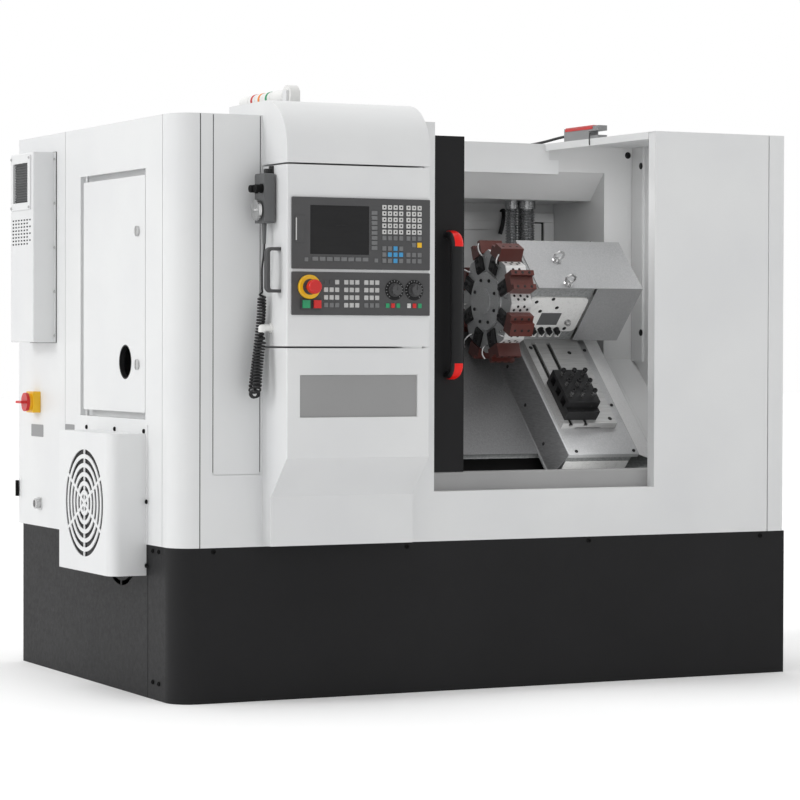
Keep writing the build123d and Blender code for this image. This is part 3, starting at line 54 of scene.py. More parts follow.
# Faces that carry fittings: across, up and outward direction of each
FRONT = np.array(((1, 0, 0), (0, 0, 1), (0, -1, 0)), float)
REAR = np.array(((-1, 0, 0), (0, 0, 1), (0, 1, 0)), float)
LEFT = np.array(((0, -1, 0), (0, 0, 1), (-1, 0, 0)), float)
TOP = np.array(((1, 0, 0), (0, 1, 0), (0, 0, 1)), float)
SLANT = np.array(((1, 0, 0), (0, SLOPE, SLOPE), (0, -SLOPE, SLOPE)))
UNDER_SLANT = np.array(((1, 0, 0), (0, -SLOPE, SLOPE), (0, -SLOPE, -SLOPE)))


def spots(places):
    """Stations in millimetres from the front left foot, as points of the part's frame in metres."""
    return FOOT + MM * np.array(places, float)


def slides(places):
    """Stations along the machine, up the slant and square to it, as points of the part's frame."""
    x, s, n = np.array(places, float).reshape(-1, 3).T
    return spots(np.stack((x, AXIS_Y + SLOPE * (s - n), AXIS_Z + SLOPE * (s + n)), -1))


def along_at(x):
    """Place along the machine as the part's own coordinate."""
    return float(spots((x, 0, 0))[0])


def centred(count):
    """Whole steps about zero, as many as the count."""
    return np.arange(count) - (count - 1) / 2


# Camera of the photograph
CAMERA_SPOT = (-3068.4, -7612.1, 1016.8)
YAW, PITCH, ROLL = (math.radians(angle) for angle in (26.316, -1.1475, 0.1647))
LENS, SENSOR = 132.65, 36.0


def placed(across, up, back, spot):
    """Matrix of an object turned to three directions and set at a point."""
    turn = np.eye(4)
    turn[:3, :3] = np.stack((across, up, back), -1)
    turn[:3, 3] = spot
    return Matrix(turn.tolist())


def set_camera():
    """Camera turned by yaw about the upright, then by pitch, then by roll about its own line of sight."""
    ahead = np.array((math.sin(YAW) * math.cos(PITCH), math.cos(YAW) * math.cos(PITCH), math.sin(PITCH)))
    level = np.array((math.cos(YAW), -math.sin(YAW), 0.0))
    rise = np.cross(level, ahead)
    across = math.cos(ROLL) * level + math.sin(ROLL) * rise
    up = -math.sin(ROLL) * level + math.cos(ROLL) * rise
    data = bpy.data.cameras.new("photo_camera")
    data.lens = LENS
    data.sensor_width = SENSOR
    camera = bpy.data.objects.new("photo_camera", data)
    camera.matrix_world = placed(across, up, -ahead, spots(CAMERA_SPOT))
    scene.collection.objects.link(camera)
    scene.camera = camera


set_camera()


# Shapes: points of a surface and the index arrays of its faces
SHARP_ANGLE = 32


def skin(rings, closed=False):
    """Skin over a stack of equal rings: each face joins two neighbours on a ring to the next ring.
    The end rings are capped, or joined to each other when the stack is closed."""
    levels, around = rings.shape[:2]
    level = np.arange(levels if closed else levels - 1)[:, None] * around
    step = np.arange(around)[None, :]
    above = (level + around) % (levels * around)
    ahead = (step + 1) % around
    sides = np.stack((level + step, level + ahead, above + ahead, above + step), -1).reshape(-1, 4)
    faces = [sides]
    if not closed:
        last = (levels - 1) * around
        faces.append(np.stack((np.arange(around)[::-1], last + np.arange(around))))
    return rings.reshape(-1, 3), faces


def joined(*shapes):
    """Shapes put together: their points in a row, with each shape's faces renumbered."""
    starts = np.cumsum([0] + [len(points) for points, _ in shapes[:-1]])
    points = np.concatenate([points for points, _ in shapes])
    return points, [face + start for start, (_, faces) in zip(starts, shapes) for face in faces]


def repeated(shape, centres):
    """The shape set down at each centre: its points added to every centre in turn."""
    points, faces = shape
    centres = np.atleast_2d(centres)
    starts = len(points) * np.arange(len(centres))[:, None, None]
    everywhere = (centres[:, None] + points).reshape(-1, 3)
    return everywhere, [(starts + face).reshape(-1, face.shape[1]) for face in faces]


def turned(face, profile, segments=18, closed=False):
    """Turned form: radius and rise of a profile carried through a full turn about the face's normal."""
    radius, rise = MM * np.array(profile, float).T
    turn = np.linspace(0, 2 * np.pi, segments, endpoint=False)
    height = np.repeat(rise[:, None], segments, 1)
    local = np.stack((radius[:, None] * np.cos(turn), radius[:, None] * np.sin(turn), height), -1)
    return skin(local @ face, closed)


def round_section(radius, thick, steps):
    """Profile of a ring: a circle of the thickness about a point at the radius."""
    turn = np.linspace(0, 2 * np.pi, steps, endpoint=False)
    return np.stack((radius + thick * np.cos(turn), thick * np.sin(turn)), -1)


def tile(face, width, height, thick, corner, edge):
    """Rounded tile: an outline of four quarter turns raised in three levels, the last drawn in by the
    edge."""
    turn = (np.arange(4)[:, None] * np.pi / 2 + np.linspace(0, np.pi / 2, 4)).ravel()
    side = np.repeat(((1, 1), (-1, 1), (-1, -1), (1, -1)), 4, axis=0)
    half = np.array((width, height)) / 2
    inset = np.array((0, 0, edge))[:, None, None]
    arc = np.stack((np.cos(turn), np.sin(turn)), -1)
    outline = side * (half - corner) + (corner - inset) * arc
    rise = np.array((0, thick - edge, thick))[:, None, None] * np.ones_like(outline[..., :1])
    return skin(MM * np.concatenate((outline, rise), -1) @ face)


def tiles(*rows):
    """Tiles in one shape: each row gives a face, the sizes of its tile and its place."""
    return joined(*(repeated(tile(face, *size), spots(at)) for face, size, at in rows))


def tube(path, radius, lean, segments):
    """Round tube: a circle carried along the path, its first radius kept as near the lean as the path
    allows."""
    ahead = np.gradient(path, axis=0)
    ahead /= np.linalg.norm(ahead, axis=1, keepdims=True)
    out = lean - (lean * ahead).sum(-1, keepdims=True) * ahead
    out /= np.linalg.norm(out, axis=1, keepdims=True)
    across = np.cross(ahead, out)
    turn = np.linspace(0, 2 * np.pi, segments, endpoint=False)[None, :, None]
    reach = MM * np.broadcast_to(radius, len(path))[:, None, None]
    return skin(path[:, None] + reach * (np.cos(turn) * out[:, None] + np.sin(turn) * across[:, None]))


def bow(points, count):
    """Smooth bow: the mean of the control points under binomial weights that move from the first to the
    last."""
    points = np.array(points, float)
    order = len(points) - 1
    share = np.linspace(0, 1, count)[:, None]
    power = np.arange(order + 1)
    choose = np.array([math.comb(order, k) for k in power])
    return (choose * share**power * (1 - share) ** (order - power)) @ points


def piece(name, shape, body, slot, finish=None):
    """Mesh object from a shape, smooth but for edges over the sharp angle, riding on a body. Its finish is
    the one named for its slot unless another is given."""
    points, faces = shape
    mesh = bpy.data.meshes.new(name)
    mesh.from_pydata(points.tolist(), [], [row for face in faces for row in face.tolist()])
    mesh.shade_smooth()
    mesh.set_sharp_from_angle(angle=math.radians(SHARP_ANGLE))
    mesh.materials.append(coats[finish or slot])
    made = bpy.data.objects.new(name, mesh)
    scene.collection.objects.link(made)
    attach(made, body)
    return made


# Finishes
CUT_LIFT = 0.00012
ALONG_X, ALONG_Y, ALONG_Z = (0.05, 1.0, 1.0), (1.0, 0.05, 1.0), (1.0, 1.0, 0.05)
# Places along the machine where the way cover's painted shade ends and its painted light starts
COVER_FOLD_X, COVER_WING_X = 1396, 1646
TURRET_RIM_X, TURRET_RIM_EDGE = 1285.2, 1.2
HANDLE_X = 878
ELBOW_Y, ELBOW_Z = 27.6, (948.6, 1295.4)
ELBOW_BEND, ELBOW_LEAN = 30.6, 1.1


def tone(red, green, blue):
    """Linear colour of a screen colour from 0 to 255."""
    share = np.array((red, green, blue)) / 255
    linear = np.where(share <= 0.04045, share / 12.92, ((share + 0.055) / 1.055) ** 2.4)
    return (*linear.tolist(), 1.0)


class Recipe:
    """Material under construction: lays nodes whose plain values are set on their own sockets."""

    def __init__(self, name):
        self.material = bpy.data.materials.new(name)
        self.material.use_nodes = True
        self.tree = self.material.node_tree
        self.shader = self.tree.nodes["Principled BSDF"]
        self.place = self.lay("ShaderNodeTexCoord").outputs["Object"]

    def lay(self, kind, sockets=None, **settings):
        """New node with its settings, each socket given a value or the output that feeds it."""
        made = self.tree.nodes.new(kind)
        for key, value in settings.items():
            setattr(made, key, value)
        for key, value in (sockets or {}).items():
            self.feed(made.inputs[key], value)
        return made

    def feed(self, socket, value):
        """Output linked to a socket, or a plain value set on it."""
        if isinstance(value, bpy.types.NodeSocket):
            self.tree.links.new(value, socket)
        else:
            socket.default_value = value

    def axes(self):
        """Object's own place along each axis."""
        return self.lay("ShaderNodeSeparateXYZ", {"Vector": self.place}).outputs

    def sum(self, operation, *values):
        """Result of a sum on values and outputs."""
        return self.lay("ShaderNodeMath", dict(enumerate(values)), operation=operation).outputs[0]

    def noise(self, scale, detail=2.0, stretch=None, rough=0.5):
        """Noise over the object's own place, drawn out along an axis by the stretch."""
        place = self.place
        if stretch:
            place = self.lay("ShaderNodeMapping", {"Vector": place, "Scale": stretch}).outputs["Vector"]
        sockets = {"Vector": place, "Scale": scale, "Detail": detail, "Roughness": rough}
        return self.lay("ShaderNodeTexNoise", sockets).outputs["Fac"]

    def band(self, value, low, high, start=0.0, end=1.0):
        """Value from low to high carried over to start to end, and held at the ends."""
        sockets = {"Value": value, "From Min": low, "From Max": high, "To Min": start, "To Max": end}
        return self.lay("ShaderNodeMapRange", sockets).outputs["Result"]

    def mix(self, share, first, second):
        """Colour between two, by the share of the second. The colour sockets of a mix are 6 and 7."""
        made = self.lay("ShaderNodeMix", data_type="RGBA")
        self.feed(made.inputs[0], share)
        self.feed(made.inputs[6], first)
        self.feed(made.inputs[7], second)
        return made.outputs[2]

    def bump(self, height, strength, distance):
        """Normal raised by a height."""
        sockets = {"Height": height, "Strength": strength, "Distance": distance}
        return self.lay("ShaderNodeBump", sockets).outputs["Normal"]

    def finish(self, **sockets):
        """Values and outputs put on the shader, spaces written as underscores."""
        for key, value in sockets.items():
            self.feed(self.shader.inputs[key.replace("_", " ")], value)
        return self.material


def sprayed(name, body, shade, scuff, rough, peel=520.0, lift=0.00025, shine=0.5):
    """Sprayed paint: colour that drifts over broad clouds, faint rubbed specks, and an orange peel skin."""
    coat = Recipe(name)
    cloud = coat.band(coat.noise(2.6, 3.0), 0.35, 0.7)
    speck = coat.noise(75.0, 5.0, rough=0.7)
    colour = coat.mix(cloud, body, shade)
    colour = coat.mix(coat.band(speck, 0.66, 0.8, 0.0, 0.55), colour, scuff)
    gloss = coat.band(speck, 0.3, 0.75, rough - 0.05, rough + 0.09)
    peeled = coat.bump(coat.noise(peel, 2.0), 0.35, lift)
    return coat.finish(Base_Color=colour, Roughness=gloss, Specular_IOR_Level=shine, Normal=peeled)


def machined(name, body, shade, rough, stretch, metal=1.0):
    """Machined metal: fine lines drawn out along the cut, that vary its colour, gloss and height."""
    coat = Recipe(name)
    line = coat.noise(260.0, 4.0, stretch, 0.65)
    cloud = coat.noise(6.0, 3.0)
    colour = coat.mix(coat.band(line, 0.3, 0.7), body, shade)
    colour = coat.mix(coat.band(cloud, 0.55, 0.8, 0.0, 0.5), colour, shade)
    gloss = coat.band(line, 0.25, 0.75, rough - 0.07, rough + 0.1)
    cut = coat.bump(line, 0.4, CUT_LIFT)
    return coat.finish(Base_Color=colour, Metallic=metal, Roughness=gloss, Normal=cut)


def moulded(name, body, shade, rough, grain=850.0, shine=0.5):
    """Moulded plastic: fine spark grain, and handled patches that shine more."""
    coat = Recipe(name)
    patch = coat.noise(14.0, 3.0)
    colour = coat.mix(coat.band(patch, 0.4, 0.75), body, shade)
    gloss = coat.band(patch, 0.3, 0.7, rough + 0.07, rough - 0.06)
    grained = coat.bump(coat.noise(grain, 2.0), 0.3, 0.0002)
    return coat.finish(Base_Color=colour, Roughness=gloss, Specular_IOR_Level=shine, Normal=grained)


def cast_skin(name, body, shade, rough):
    """Painted casting: rolling sand-cast skin under a thick coat, darker in its hollows."""
    coat = Recipe(name)
    sand = coat.noise(120.0, 6.0, rough=0.6)
    colour = coat.mix(coat.band(sand, 0.35, 0.6, 1.0, 0.0), body, shade)
    gloss = coat.band(sand, 0.3, 0.7, rough + 0.1, rough - 0.05)
    return coat.finish(Base_Color=colour, Roughness=gloss, Normal=coat.bump(sand, 0.5, 0.0012))


def blacked(name, body, worn, rough):
    """Black oxide steel: dark skin rubbed to bare metal in small worn patches."""
    coat = Recipe(name)
    wear = coat.noise(48.0, 6.0, rough=0.72)
    colour = coat.mix(coat.band(wear, 0.6, 0.74, 0.0, 0.8), body, worn)
    gloss = coat.band(wear, 0.3, 0.75, rough + 0.06, rough - 0.1)
    pitted = coat.bump(coat.noise(600.0), 0.25, 0.0002)
    return coat.finish(Base_Color=colour, Metallic=0.4, Roughness=gloss, Normal=pitted)


def clear_sheet(name, body, shade, through, rough, shine=0.5):
    """Glass or clear sheet: tint with faint wiping streaks that dull its gloss."""
    coat = Recipe(name)
    streak = coat.noise(9.0, 4.0, (1.0, 1.0, 7.0))
    colour = coat.mix(coat.band(streak, 0.35, 0.7), body, shade)
    gloss = coat.band(streak, 0.3, 0.75, rough, rough + 0.08)
    return coat.finish(
        Base_Color=colour,
        Roughness=gloss,
        Transmission_Weight=through,
        Specular_IOR_Level=shine,
        IOR=1.49,
        Normal=coat.bump(streak, 0.05, 0.0002),
    )


def cover_steel(name):
    """Way cover: bright brushed sheet over the saddle; left of it the wing and fold are painted darker, as
    painted shade of the dark that they reflect, and right of it the wing is painted lighter, as painted
    light."""
    coat = Recipe(name)
    line = coat.noise(260.0, 4.0, ALONG_Y, 0.65)
    along = coat.axes()["X"]
    fold, wing = along_at(COVER_FOLD_X), along_at(COVER_WING_X)
    over = coat.band(along, fold - MM, fold + MM)
    past = coat.band(along, wing - MM, wing + MM)
    share = coat.band(line, 0.3, 0.7)
    # Painted shade: darker sheet on the fold and wing left of the saddle
    dull = coat.mix(share, tone(124, 124, 125), tone(104, 105, 106))
    bright = coat.mix(share, tone(184, 184, 185), tone(168, 169, 170))
    # Painted light: lighter sheet on the wing right of the saddle
    new = coat.mix(share, tone(240, 240, 240), tone(228, 228, 228))
    colour = coat.mix(past, coat.mix(over, dull, bright), new)
    gloss = coat.band(line, 0.25, 0.75, 0.3, 0.46)
    return coat.finish(
        Base_Color=colour, Metallic=0.5, Roughness=gloss, Normal=coat.bump(line, 0.4, CUT_LIFT)
    )


def turret_metal(name):
    """Turret disc: dark ground face lifted as painted light, and a bright cut rim that starts behind it along
    the spindle.
    """
    coat = Recipe(name)
    line = coat.noise(240.0, 4.0, ALONG_X, 0.65)
    edge = along_at(TURRET_RIM_X)
    rim = coat.band(coat.axes()["X"], edge, edge + MM * TURRET_RIM_EDGE)
    share = coat.band(line, 0.3, 0.7)
    # Painted light: the face's colour is raised for the light from the left that the chuck side keeps from it
    face = coat.mix(share, tone(178, 179, 180), tone(150, 151, 152))
    cut = coat.mix(share, tone(226, 226, 225), tone(204, 204, 204))
    gloss = coat.band(line, 0.25, 0.75, 0.32, 0.48)
    ground = coat.bump(line, 0.4, CUT_LIFT)
    return coat.finish(Base_Color=coat.mix(rim, face, cut), Metallic=0.35, Roughness=gloss, Normal=ground)


def elbow_plastic(name):
    """Door handle elbows: red outside the bend and to the right, black inside it and to the left, by the
    distance from the bend's centre with the distance along the machine added."""
    coat = Recipe(name)
    low, high = spots([(HANDLE_X, ELBOW_Y, z) for z in ELBOW_Z]).tolist()
    axes = coat.axes()
    height = coat.sum("ABSOLUTE", coat.sum("SUBTRACT", axes["Z"], (low[2] + high[2]) / 2))
    past = coat.sum("MAXIMUM", coat.sum("SUBTRACT", height, (high[2] - low[2]) / 2), 0.0)
    depth = coat.sum("MINIMUM", coat.sum("SUBTRACT", axes["Y"], low[1]), 0.0)
    reach = coat.lay("ShaderNodeCombineXYZ", {"X": depth, "Y": past})
    away = coat.lay("ShaderNodeVectorMath", {0: reach.outputs[0]}, operation="LENGTH").outputs["Value"]
    aside = coat.sum("SUBTRACT", axes["X"], low[0])
    away = coat.sum("MULTIPLY_ADD", aside, ELBOW_LEAN, away)
    outside = coat.band(away, MM * (ELBOW_BEND - 2.2), MM * (ELBOW_BEND - 1.4))
    patch = coat.noise(14.0, 3.0)
    red = coat.mix(coat.band(patch, 0.4, 0.75), tone(236, 20, 12), tone(216, 14, 10))
    return coat.finish(
        Base_Color=coat.mix(outside, tone(30, 30, 31), red),
        Roughness=coat.band(patch, 0.3, 0.7, 0.42, 0.28),
        Specular_IOR_Level=0.3,
        Normal=coat.bump(coat.noise(850.0, 2.0), 0.3, 0.0002),
    )


FINISHES = {
    "panel_paint": (sprayed, tone(226, 227, 227), tone(220, 221, 222), tone(231, 231, 230), 0.4),
    "liner_paint": (sprayed, tone(216, 216, 216), tone(208, 209, 209), tone(224, 224, 223), 0.36),
    "charcoal_paint": (
        sprayed, tone(34, 34, 35), tone(30, 30, 31), tone(44, 44, 45), 0.5, 900.0, 0.0004, 0.14
    ),
    "track_grey": (sprayed, tone(158, 158, 158), tone(148, 148, 148), tone(172, 172, 172), 0.4),
    "field_grey": (sprayed, tone(150, 150, 150), tone(144, 144, 144), tone(156, 156, 156), 0.5),
    "turret_metal": (turret_metal,),
    "cover_steel": (cover_steel,),
    "elbow_plastic": (elbow_plastic,),
    "casting": (cast_skin, tone(150, 152, 152), tone(128, 130, 130), 0.5),
    "machined_steel": (machined, tone(190, 190, 189), tone(168, 168, 168), 0.34, ALONG_X, 0.5),
    "bright_steel": (sprayed, tone(232, 232, 230), tone(224, 224, 223), tone(214, 214, 214), 0.28),
    "sheet_steel": (machined, tone(184, 184, 185), tone(168, 169, 170), 0.36, ALONG_Y, 0.5),
    "black_steel": (blacked, tone(34, 34, 35), tone(78, 78, 78), 0.4),
    "brown_holder": (sprayed, tone(92, 44, 37), tone(66, 33, 30), tone(150, 86, 56), 0.36, 700.0),
    "motor_paint": (cast_skin, tone(92, 96, 98), tone(74, 78, 80), 0.46),
    "faceplate_grey": (moulded, tone(78, 78, 79), tone(73, 73, 74), 0.52, 850.0, 0.3),
    "black_plastic": (moulded, tone(30, 30, 31), tone(26, 26, 27), 0.46, 850.0, 0.2),
    "deep_black": (moulded, tone(14, 14, 14), tone(10, 10, 10), 0.6, 600.0, 0.1),
    "filter_grey": (moulded, tone(104, 105, 106), tone(88, 89, 90), 0.7, 500.0, 0.2),
    "dim_key": (moulded, tone(112, 113, 114), tone(104, 105, 106), 0.5),
    "mode_key": (moulded, tone(188, 188, 187), tone(178, 178, 177), 0.45),
    "stud_metal": (machined, tone(168, 168, 168), tone(128, 128, 128), 0.24, ALONG_X, 0.9),
    "pendant_grey": (moulded, tone(92, 93, 94), tone(84, 85, 86), 0.46),
    "grey_plastic": (moulded, tone(142, 143, 144), tone(134, 135, 136), 0.45),
    "pale_plastic": (moulded, tone(208, 208, 206), tone(198, 198, 197), 0.45),
    "white_plastic": (moulded, tone(232, 232, 230), tone(226, 226, 224), 0.4),
    "red_plastic": (moulded, tone(206, 26, 24), tone(188, 20, 20), 0.34),
    "green_plastic": (moulded, tone(32, 152, 100), tone(26, 138, 90), 0.36),
    "yellow_plastic": (moulded, tone(240, 190, 28), tone(232, 178, 22), 0.36),
    "amber_plastic": (moulded, tone(236, 136, 34), tone(226, 124, 28), 0.34),
    "blue_plastic": (moulded, tone(64, 150, 200), tone(54, 138, 190), 0.4),
    "screen_glass": (clear_sheet, tone(34, 34, 35), tone(30, 30, 31), 0.0, 0.2, 0.2),
    "window_glass": (clear_sheet, tone(120, 124, 126), tone(108, 112, 114), 0.72, 0.06),
    "cord_rubber": (moulded, tone(36, 36, 37), tone(30, 30, 31), 0.5, 600.0, 0.35),
    "belt_rubber": (moulded, tone(46, 46, 46), tone(38, 38, 38), 0.66, 400.0),
    "latch_metal": (machined, tone(206, 206, 206), tone(186, 186, 186), 0.26, ALONG_Z),
    "conduit_metal": (machined, tone(164, 165, 166), tone(136, 137, 138), 0.26, ALONG_X, 0.9),
}
coats = {name: make(name, *values) for name, (make, *values) in FINISHES.items()}

DRESSING = {
    "panel_paint": (
        "front_left_panel access_panel front_panel right_side_panel rear_panel roof_panel left_side_panel "
        "side_door electrical_cabinet cabinet_rear_door cabinet_cooler fan_box console_lower console_hood "
        "control_box"
    ),
    "liner_paint": "work_area_liner",
    "track_grey": "door_track",
    "charcoal_paint": "base_skirt door_panel door_wing",
    "casting": "bed_casting headstock saddle turret_housing",
    "machined_steel": "spindle chuck slotted_table",
    "turret_metal": "turret_disc",
    "cover_steel": "way_cover",
    "sheet_steel": "turret_cover",
    "black_steel": "gang_tool_block tool_clamps motor_pulley",
    "brown_holder": "tool_holders",
    "motor_paint": "spindle_motor",
    "faceplate_grey": "screen_panel key_panel grab_handle feed_dial speed_dial",
    "pendant_grey": "pendant_body",
    "black_plastic": "door_handle",
    "grey_plastic": "interlock_switch",
    "white_plastic": "cord_gland tower_lamp",
    "red_plastic": "estop_button stop_button main_switch_handle",
    "elbow_plastic": "handle_caps",
    "green_plastic": "start_button",
    "yellow_plastic": "main_switch_base",
    "screen_glass": "display_screen",
    "window_glass": "door_window",
    "cord_rubber": "pendant_lead curly_cord",
    "belt_rubber": "drive_belt",
    "latch_metal": "side_latch_upper side_latch_lower handwheel",
    "conduit_metal": "cable_conduits",
}


def dress_nodes():
    """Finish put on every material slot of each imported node."""
    for finish, members in DRESSING.items():
        for node_name in members.split():
            slots = nodes[node_name].data.materials
            if len(slots) == 0:
                slots.append(coats[finish])
            for index in range(len(slots)):
                slots[index] = coats[finish]


dress_nodes()


# Pendant cord: a straight lead that runs on into a curl
LEAD_ROUTE = ((240, -66, 1286), (240, -66, 1262), (235, -61, 1222), (238, -55, 1188), (238, -55, 1160))
CURL_ROUTE = (
    (238, -55, 1160), (238, -55, 1124), (240, -43, 1066), (236, -33, 1000), (228, -30, 930), (219, -30, 866),
    (216, -72, 866), (219, -71, 930), (228, -67, 994), (234, -64, 1018), (234, -64, 1040),
)
CORD_RADIUS = 3.0
CURL_RADIUS = 10.2
CURL_PITCH = 8.2
CURL_RAMP = 26.0
BEND_OPENING, END_OPENING = 1.25, 3
STEPS_PER_TURN = 18
FINE_STEPS, HALF_WINDOW = 4000, 80


def route_line(name, route):
    """Points along the smooth line whose control points are the route."""
    data = bpy.data.curves.new(name, "CURVE")
    data.dimensions = "3D"
    data.resolution_u = 32
    line = data.splines.new("NURBS")
    line.points.add(len(route) - 1)
    line.points.foreach_set("co", np.column_stack((spots(route), np.ones(len(route)))).ravel())
    line.order_u = 3
    line.use_endpoint_u = True
    holder = bpy.data.objects.new(name, data)
    scene.collection.objects.link(holder)
    mesh = bpy.data.meshes.new_from_object(holder)
    points = np.empty(3 * len(mesh.vertices))
    mesh.vertices.foreach_get("co", points)
    bpy.data.objects.remove(holder)
    bpy.data.meshes.remove(mesh)
    return points.reshape(-1, 3)


def lengths_along(line):
    """Length from the start of a line to each of its points."""
    return np.concatenate(((0.0,), np.cumsum(np.linalg.norm(np.diff(line, axis=0), axis=1))))


def curl_about(line):
    """Curl about a line: each point stands off it by a radius whose direction turns once in each pitch.
    The pitch opens with the line's bend, so that the turns clear each other inside it, and near the two
    ends, where the radius grows from nothing."""
    along = lengths_along(line)
    fine = np.linspace(0, along[-1], FINE_STEPS)
    core = np.stack([np.interp(fine, along, axis) for axis in line.T], -1)
    ahead = np.gradient(core, fine, axis=0)
    ahead /= np.linalg.norm(ahead, axis=1, keepdims=True)
    bend = np.linalg.norm(np.gradient(ahead, fine, axis=0), axis=1)
    window = np.ones(2 * HALF_WINDOW + 1) / (2 * HALF_WINDOW + 1)
    bend = np.convolve(np.pad(bend, HALF_WINDOW, mode="edge"), window, mode="valid")
    near = np.clip(np.minimum(fine, along[-1] - fine) / (MM * CURL_RAMP), 0, 1)
    inside = BEND_OPENING * bend * MM * (CURL_RADIUS + CORD_RADIUS)
    pitch = MM * CURL_PITCH * (1 + inside + END_OPENING * (1 - near))
    turns = np.concatenate(((0.0,), np.cumsum(np.diff(fine) / pitch[1:])))
    count = int(turns[-1] * STEPS_PER_TURN)
    at_turn = np.linspace(0, turns[-1], count)
    place = np.interp(at_turn, turns, fine)
    core = np.stack([np.interp(place, along, axis) for axis in line.T], -1)
    ahead = np.gradient(core, axis=0)
    ahead /= np.linalg.norm(ahead, axis=1, keepdims=True)
    lean = np.array((1.0, 0.0, 0.0)) - ahead[:, :1] * ahead
    lean /= np.linalg.norm(lean, axis=1, keepdims=True)
    across = np.cross(ahead, lean)
    angle = 2 * np.pi * at_turn[:, None]
    out = np.cos(angle) * lean + np.sin(angle) * across
    ends = np.clip(np.minimum(place, along[-1] - place) / (MM * CURL_RAMP), 0, 1)[:, None]
    return core + MM * CURL_RADIUS * ends * ends * (3 - 2 * ends) * out, out


def pendant_cord():
    """One tube along the straight lead and the curl that follows it."""
    lead = route_line("lead_route", LEAD_ROUTE)
    curl, out = curl_about(route_line("curl_route", CURL_ROUTE))
    path = np.concatenate((lead[:-1], curl))
    lean = np.concatenate((np.repeat(out[:1], len(lead) - 1, axis=0), out))
    cord = piece("pendant_cord", tube(path, CORD_RADIUS, lean, 8), "operator_box", "cord_rubber")
    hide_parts("pendant_lead", "curly_cord")


pendant_cord()


# Small fasteners: radius and rise of their profiles
def socket_head(radius, rise):
    """Profile of a cap screw with a socket sunk in its head."""
    rim, mouth, bottom = 0.86 * radius, 0.52 * radius, 0.48 * radius
    return ((radius, 0), (radius, 0.75 * rise), (rim, rise), (mouth, rise), (bottom, 0.45 * rise))


def flat_plug(radius, rise):
    """Profile of a low domed plug."""
    return ((radius, 0), (radius, 0.4 * rise), (0.8 * radius, 0.85 * rise), (0.4 * radius, rise))


# Plinth, left side and console, tiles by face, sizes and place
PLINTH_SCREW, COOLER_SCREW = socket_head(6.5, 4), socket_head(4.5, 3)
BASE_FRONT_SCREWS = ((116, 0, 425), (720, 0, 423), (1325, 0, 424), (1931, 0, 423))
BASE_SIDE_SCREWS = ((0, 166, 421), (0, 120, 421), (0, 165, 49), (0, 119, 48))
SIDE_SCREWS = ((0, 704, 757), (-3, 461, 758), (-3, 228, 758), (-3, 207, 558), (-3, 207, 376))
COOLER_SCREWS = tuple((-3, y, z) for y in (980, 1206) for z in np.linspace(1030, 1572, 5))
FILTER_SCREWS = tuple((-75, y, z) for y in (1013, 1177) for z in (1425, 1577))
COOLER_Y = 1095
FILTER_X, FILTER_BACK_X, FILTER_Z = -66.5, -63.2, 1501
FILTER_HALF_WIDTH, FILTER_HALF_HEIGHT = 67, 60
PLEAT_DEPTH, PLEAT_PITCH = 2.2, 8
VENT_X, VENT_Z = -61.0, 1355
VENT_PITCH_Y, VENT_PITCH_Z, VENT_ROWS = 26, 21, 4
VENT_BACK = (14.6, 4.6, 8.4, 0.6, 0.2)
FAN_SPOT = (-103.5, 429, 546)
FAN_MAT_RADIUS, FAN_MAT_EDGE, FAN_MAT_MIDDLE, FAN_MAT_RISE = 168.0, 2.0, 6.0, 2.2
FAN_RING_PITCH, FAN_RING_DEPTH = 20, 0.8
BARE_PLATES = ((LEFT, (110, 38, 1.2, 3, 0.5), (0, 1148, 734)), (LEFT, (80, 26, 1.2, 3, 0.5), (0, 852, 748)))
INLET_SPOT = (0, 1123, 507)
INLET_FLANGE = (38, 38, 4, 4, 1)
INLET_BARREL = ((14, 3), (14, 6), (16, 7), (16, 17), (14.5, 19), (11, 19), (11, 12))
HINGE_X, HINGE_Y, HINGE_Z = -6.5, 1323.4, (546, 1540)
SLEEVE, SLEEVE_HALF = ((5.5, 0), (5.5, 49), (4, 50.4)), 25.2
# Painted shade: black ring on the wall of the bar hole in the side door
BAR_HOLE_SHADE_RING = ((49.8, -15.6), (49.8, -0.4), (46.4, -0.4), (46.4, -15.6))
CORNER_SEAL, POST_SEAL = (2.8, 1000, 0.5, 0.4, 0.1), (2.6, 1218, 0.6, 0.4, 0.1)
# Painted shade: dark rim round the cooler, for the shadow in the gap between its flange and the side
COOLER_SHADE_RIM = (243, 587, 2.2, 3, 0.4)
SEALS = (
    (FRONT, CORNER_SEAL, (113.5, 2.9, 1147)),
    (FRONT, CORNER_SEAL, (256.5, 2.9, 1147)),
    (FRONT, POST_SEAL, (74.5, 1.5, 1040)),
    (LEFT, COOLER_SHADE_RIM, (0, 1093, 1301)),
)
CONSOLE_FIELD = (FRONT, (362, 117, 1.0, 1.5, 0.4), (485, -165, 862.5))


def side_fasteners():
    """Black screws along the plinth, the side strip and the fan box, and bright ones on the cooler."""
    front = repeated(turned(FRONT, PLINTH_SCREW), spots(BASE_FRONT_SCREWS))
    left = repeated(turned(LEFT, PLINTH_SCREW), spots(BASE_SIDE_SCREWS + SIDE_SCREWS))
    piece("plinth_screws", joined(front, left), "machine", "black_steel", "deep_black")
    cooler = repeated(turned(LEFT, COOLER_SCREW), spots(COOLER_SCREWS + FILTER_SCREWS))
    piece("cooler_screws", cooler, "machine", "latch_metal")


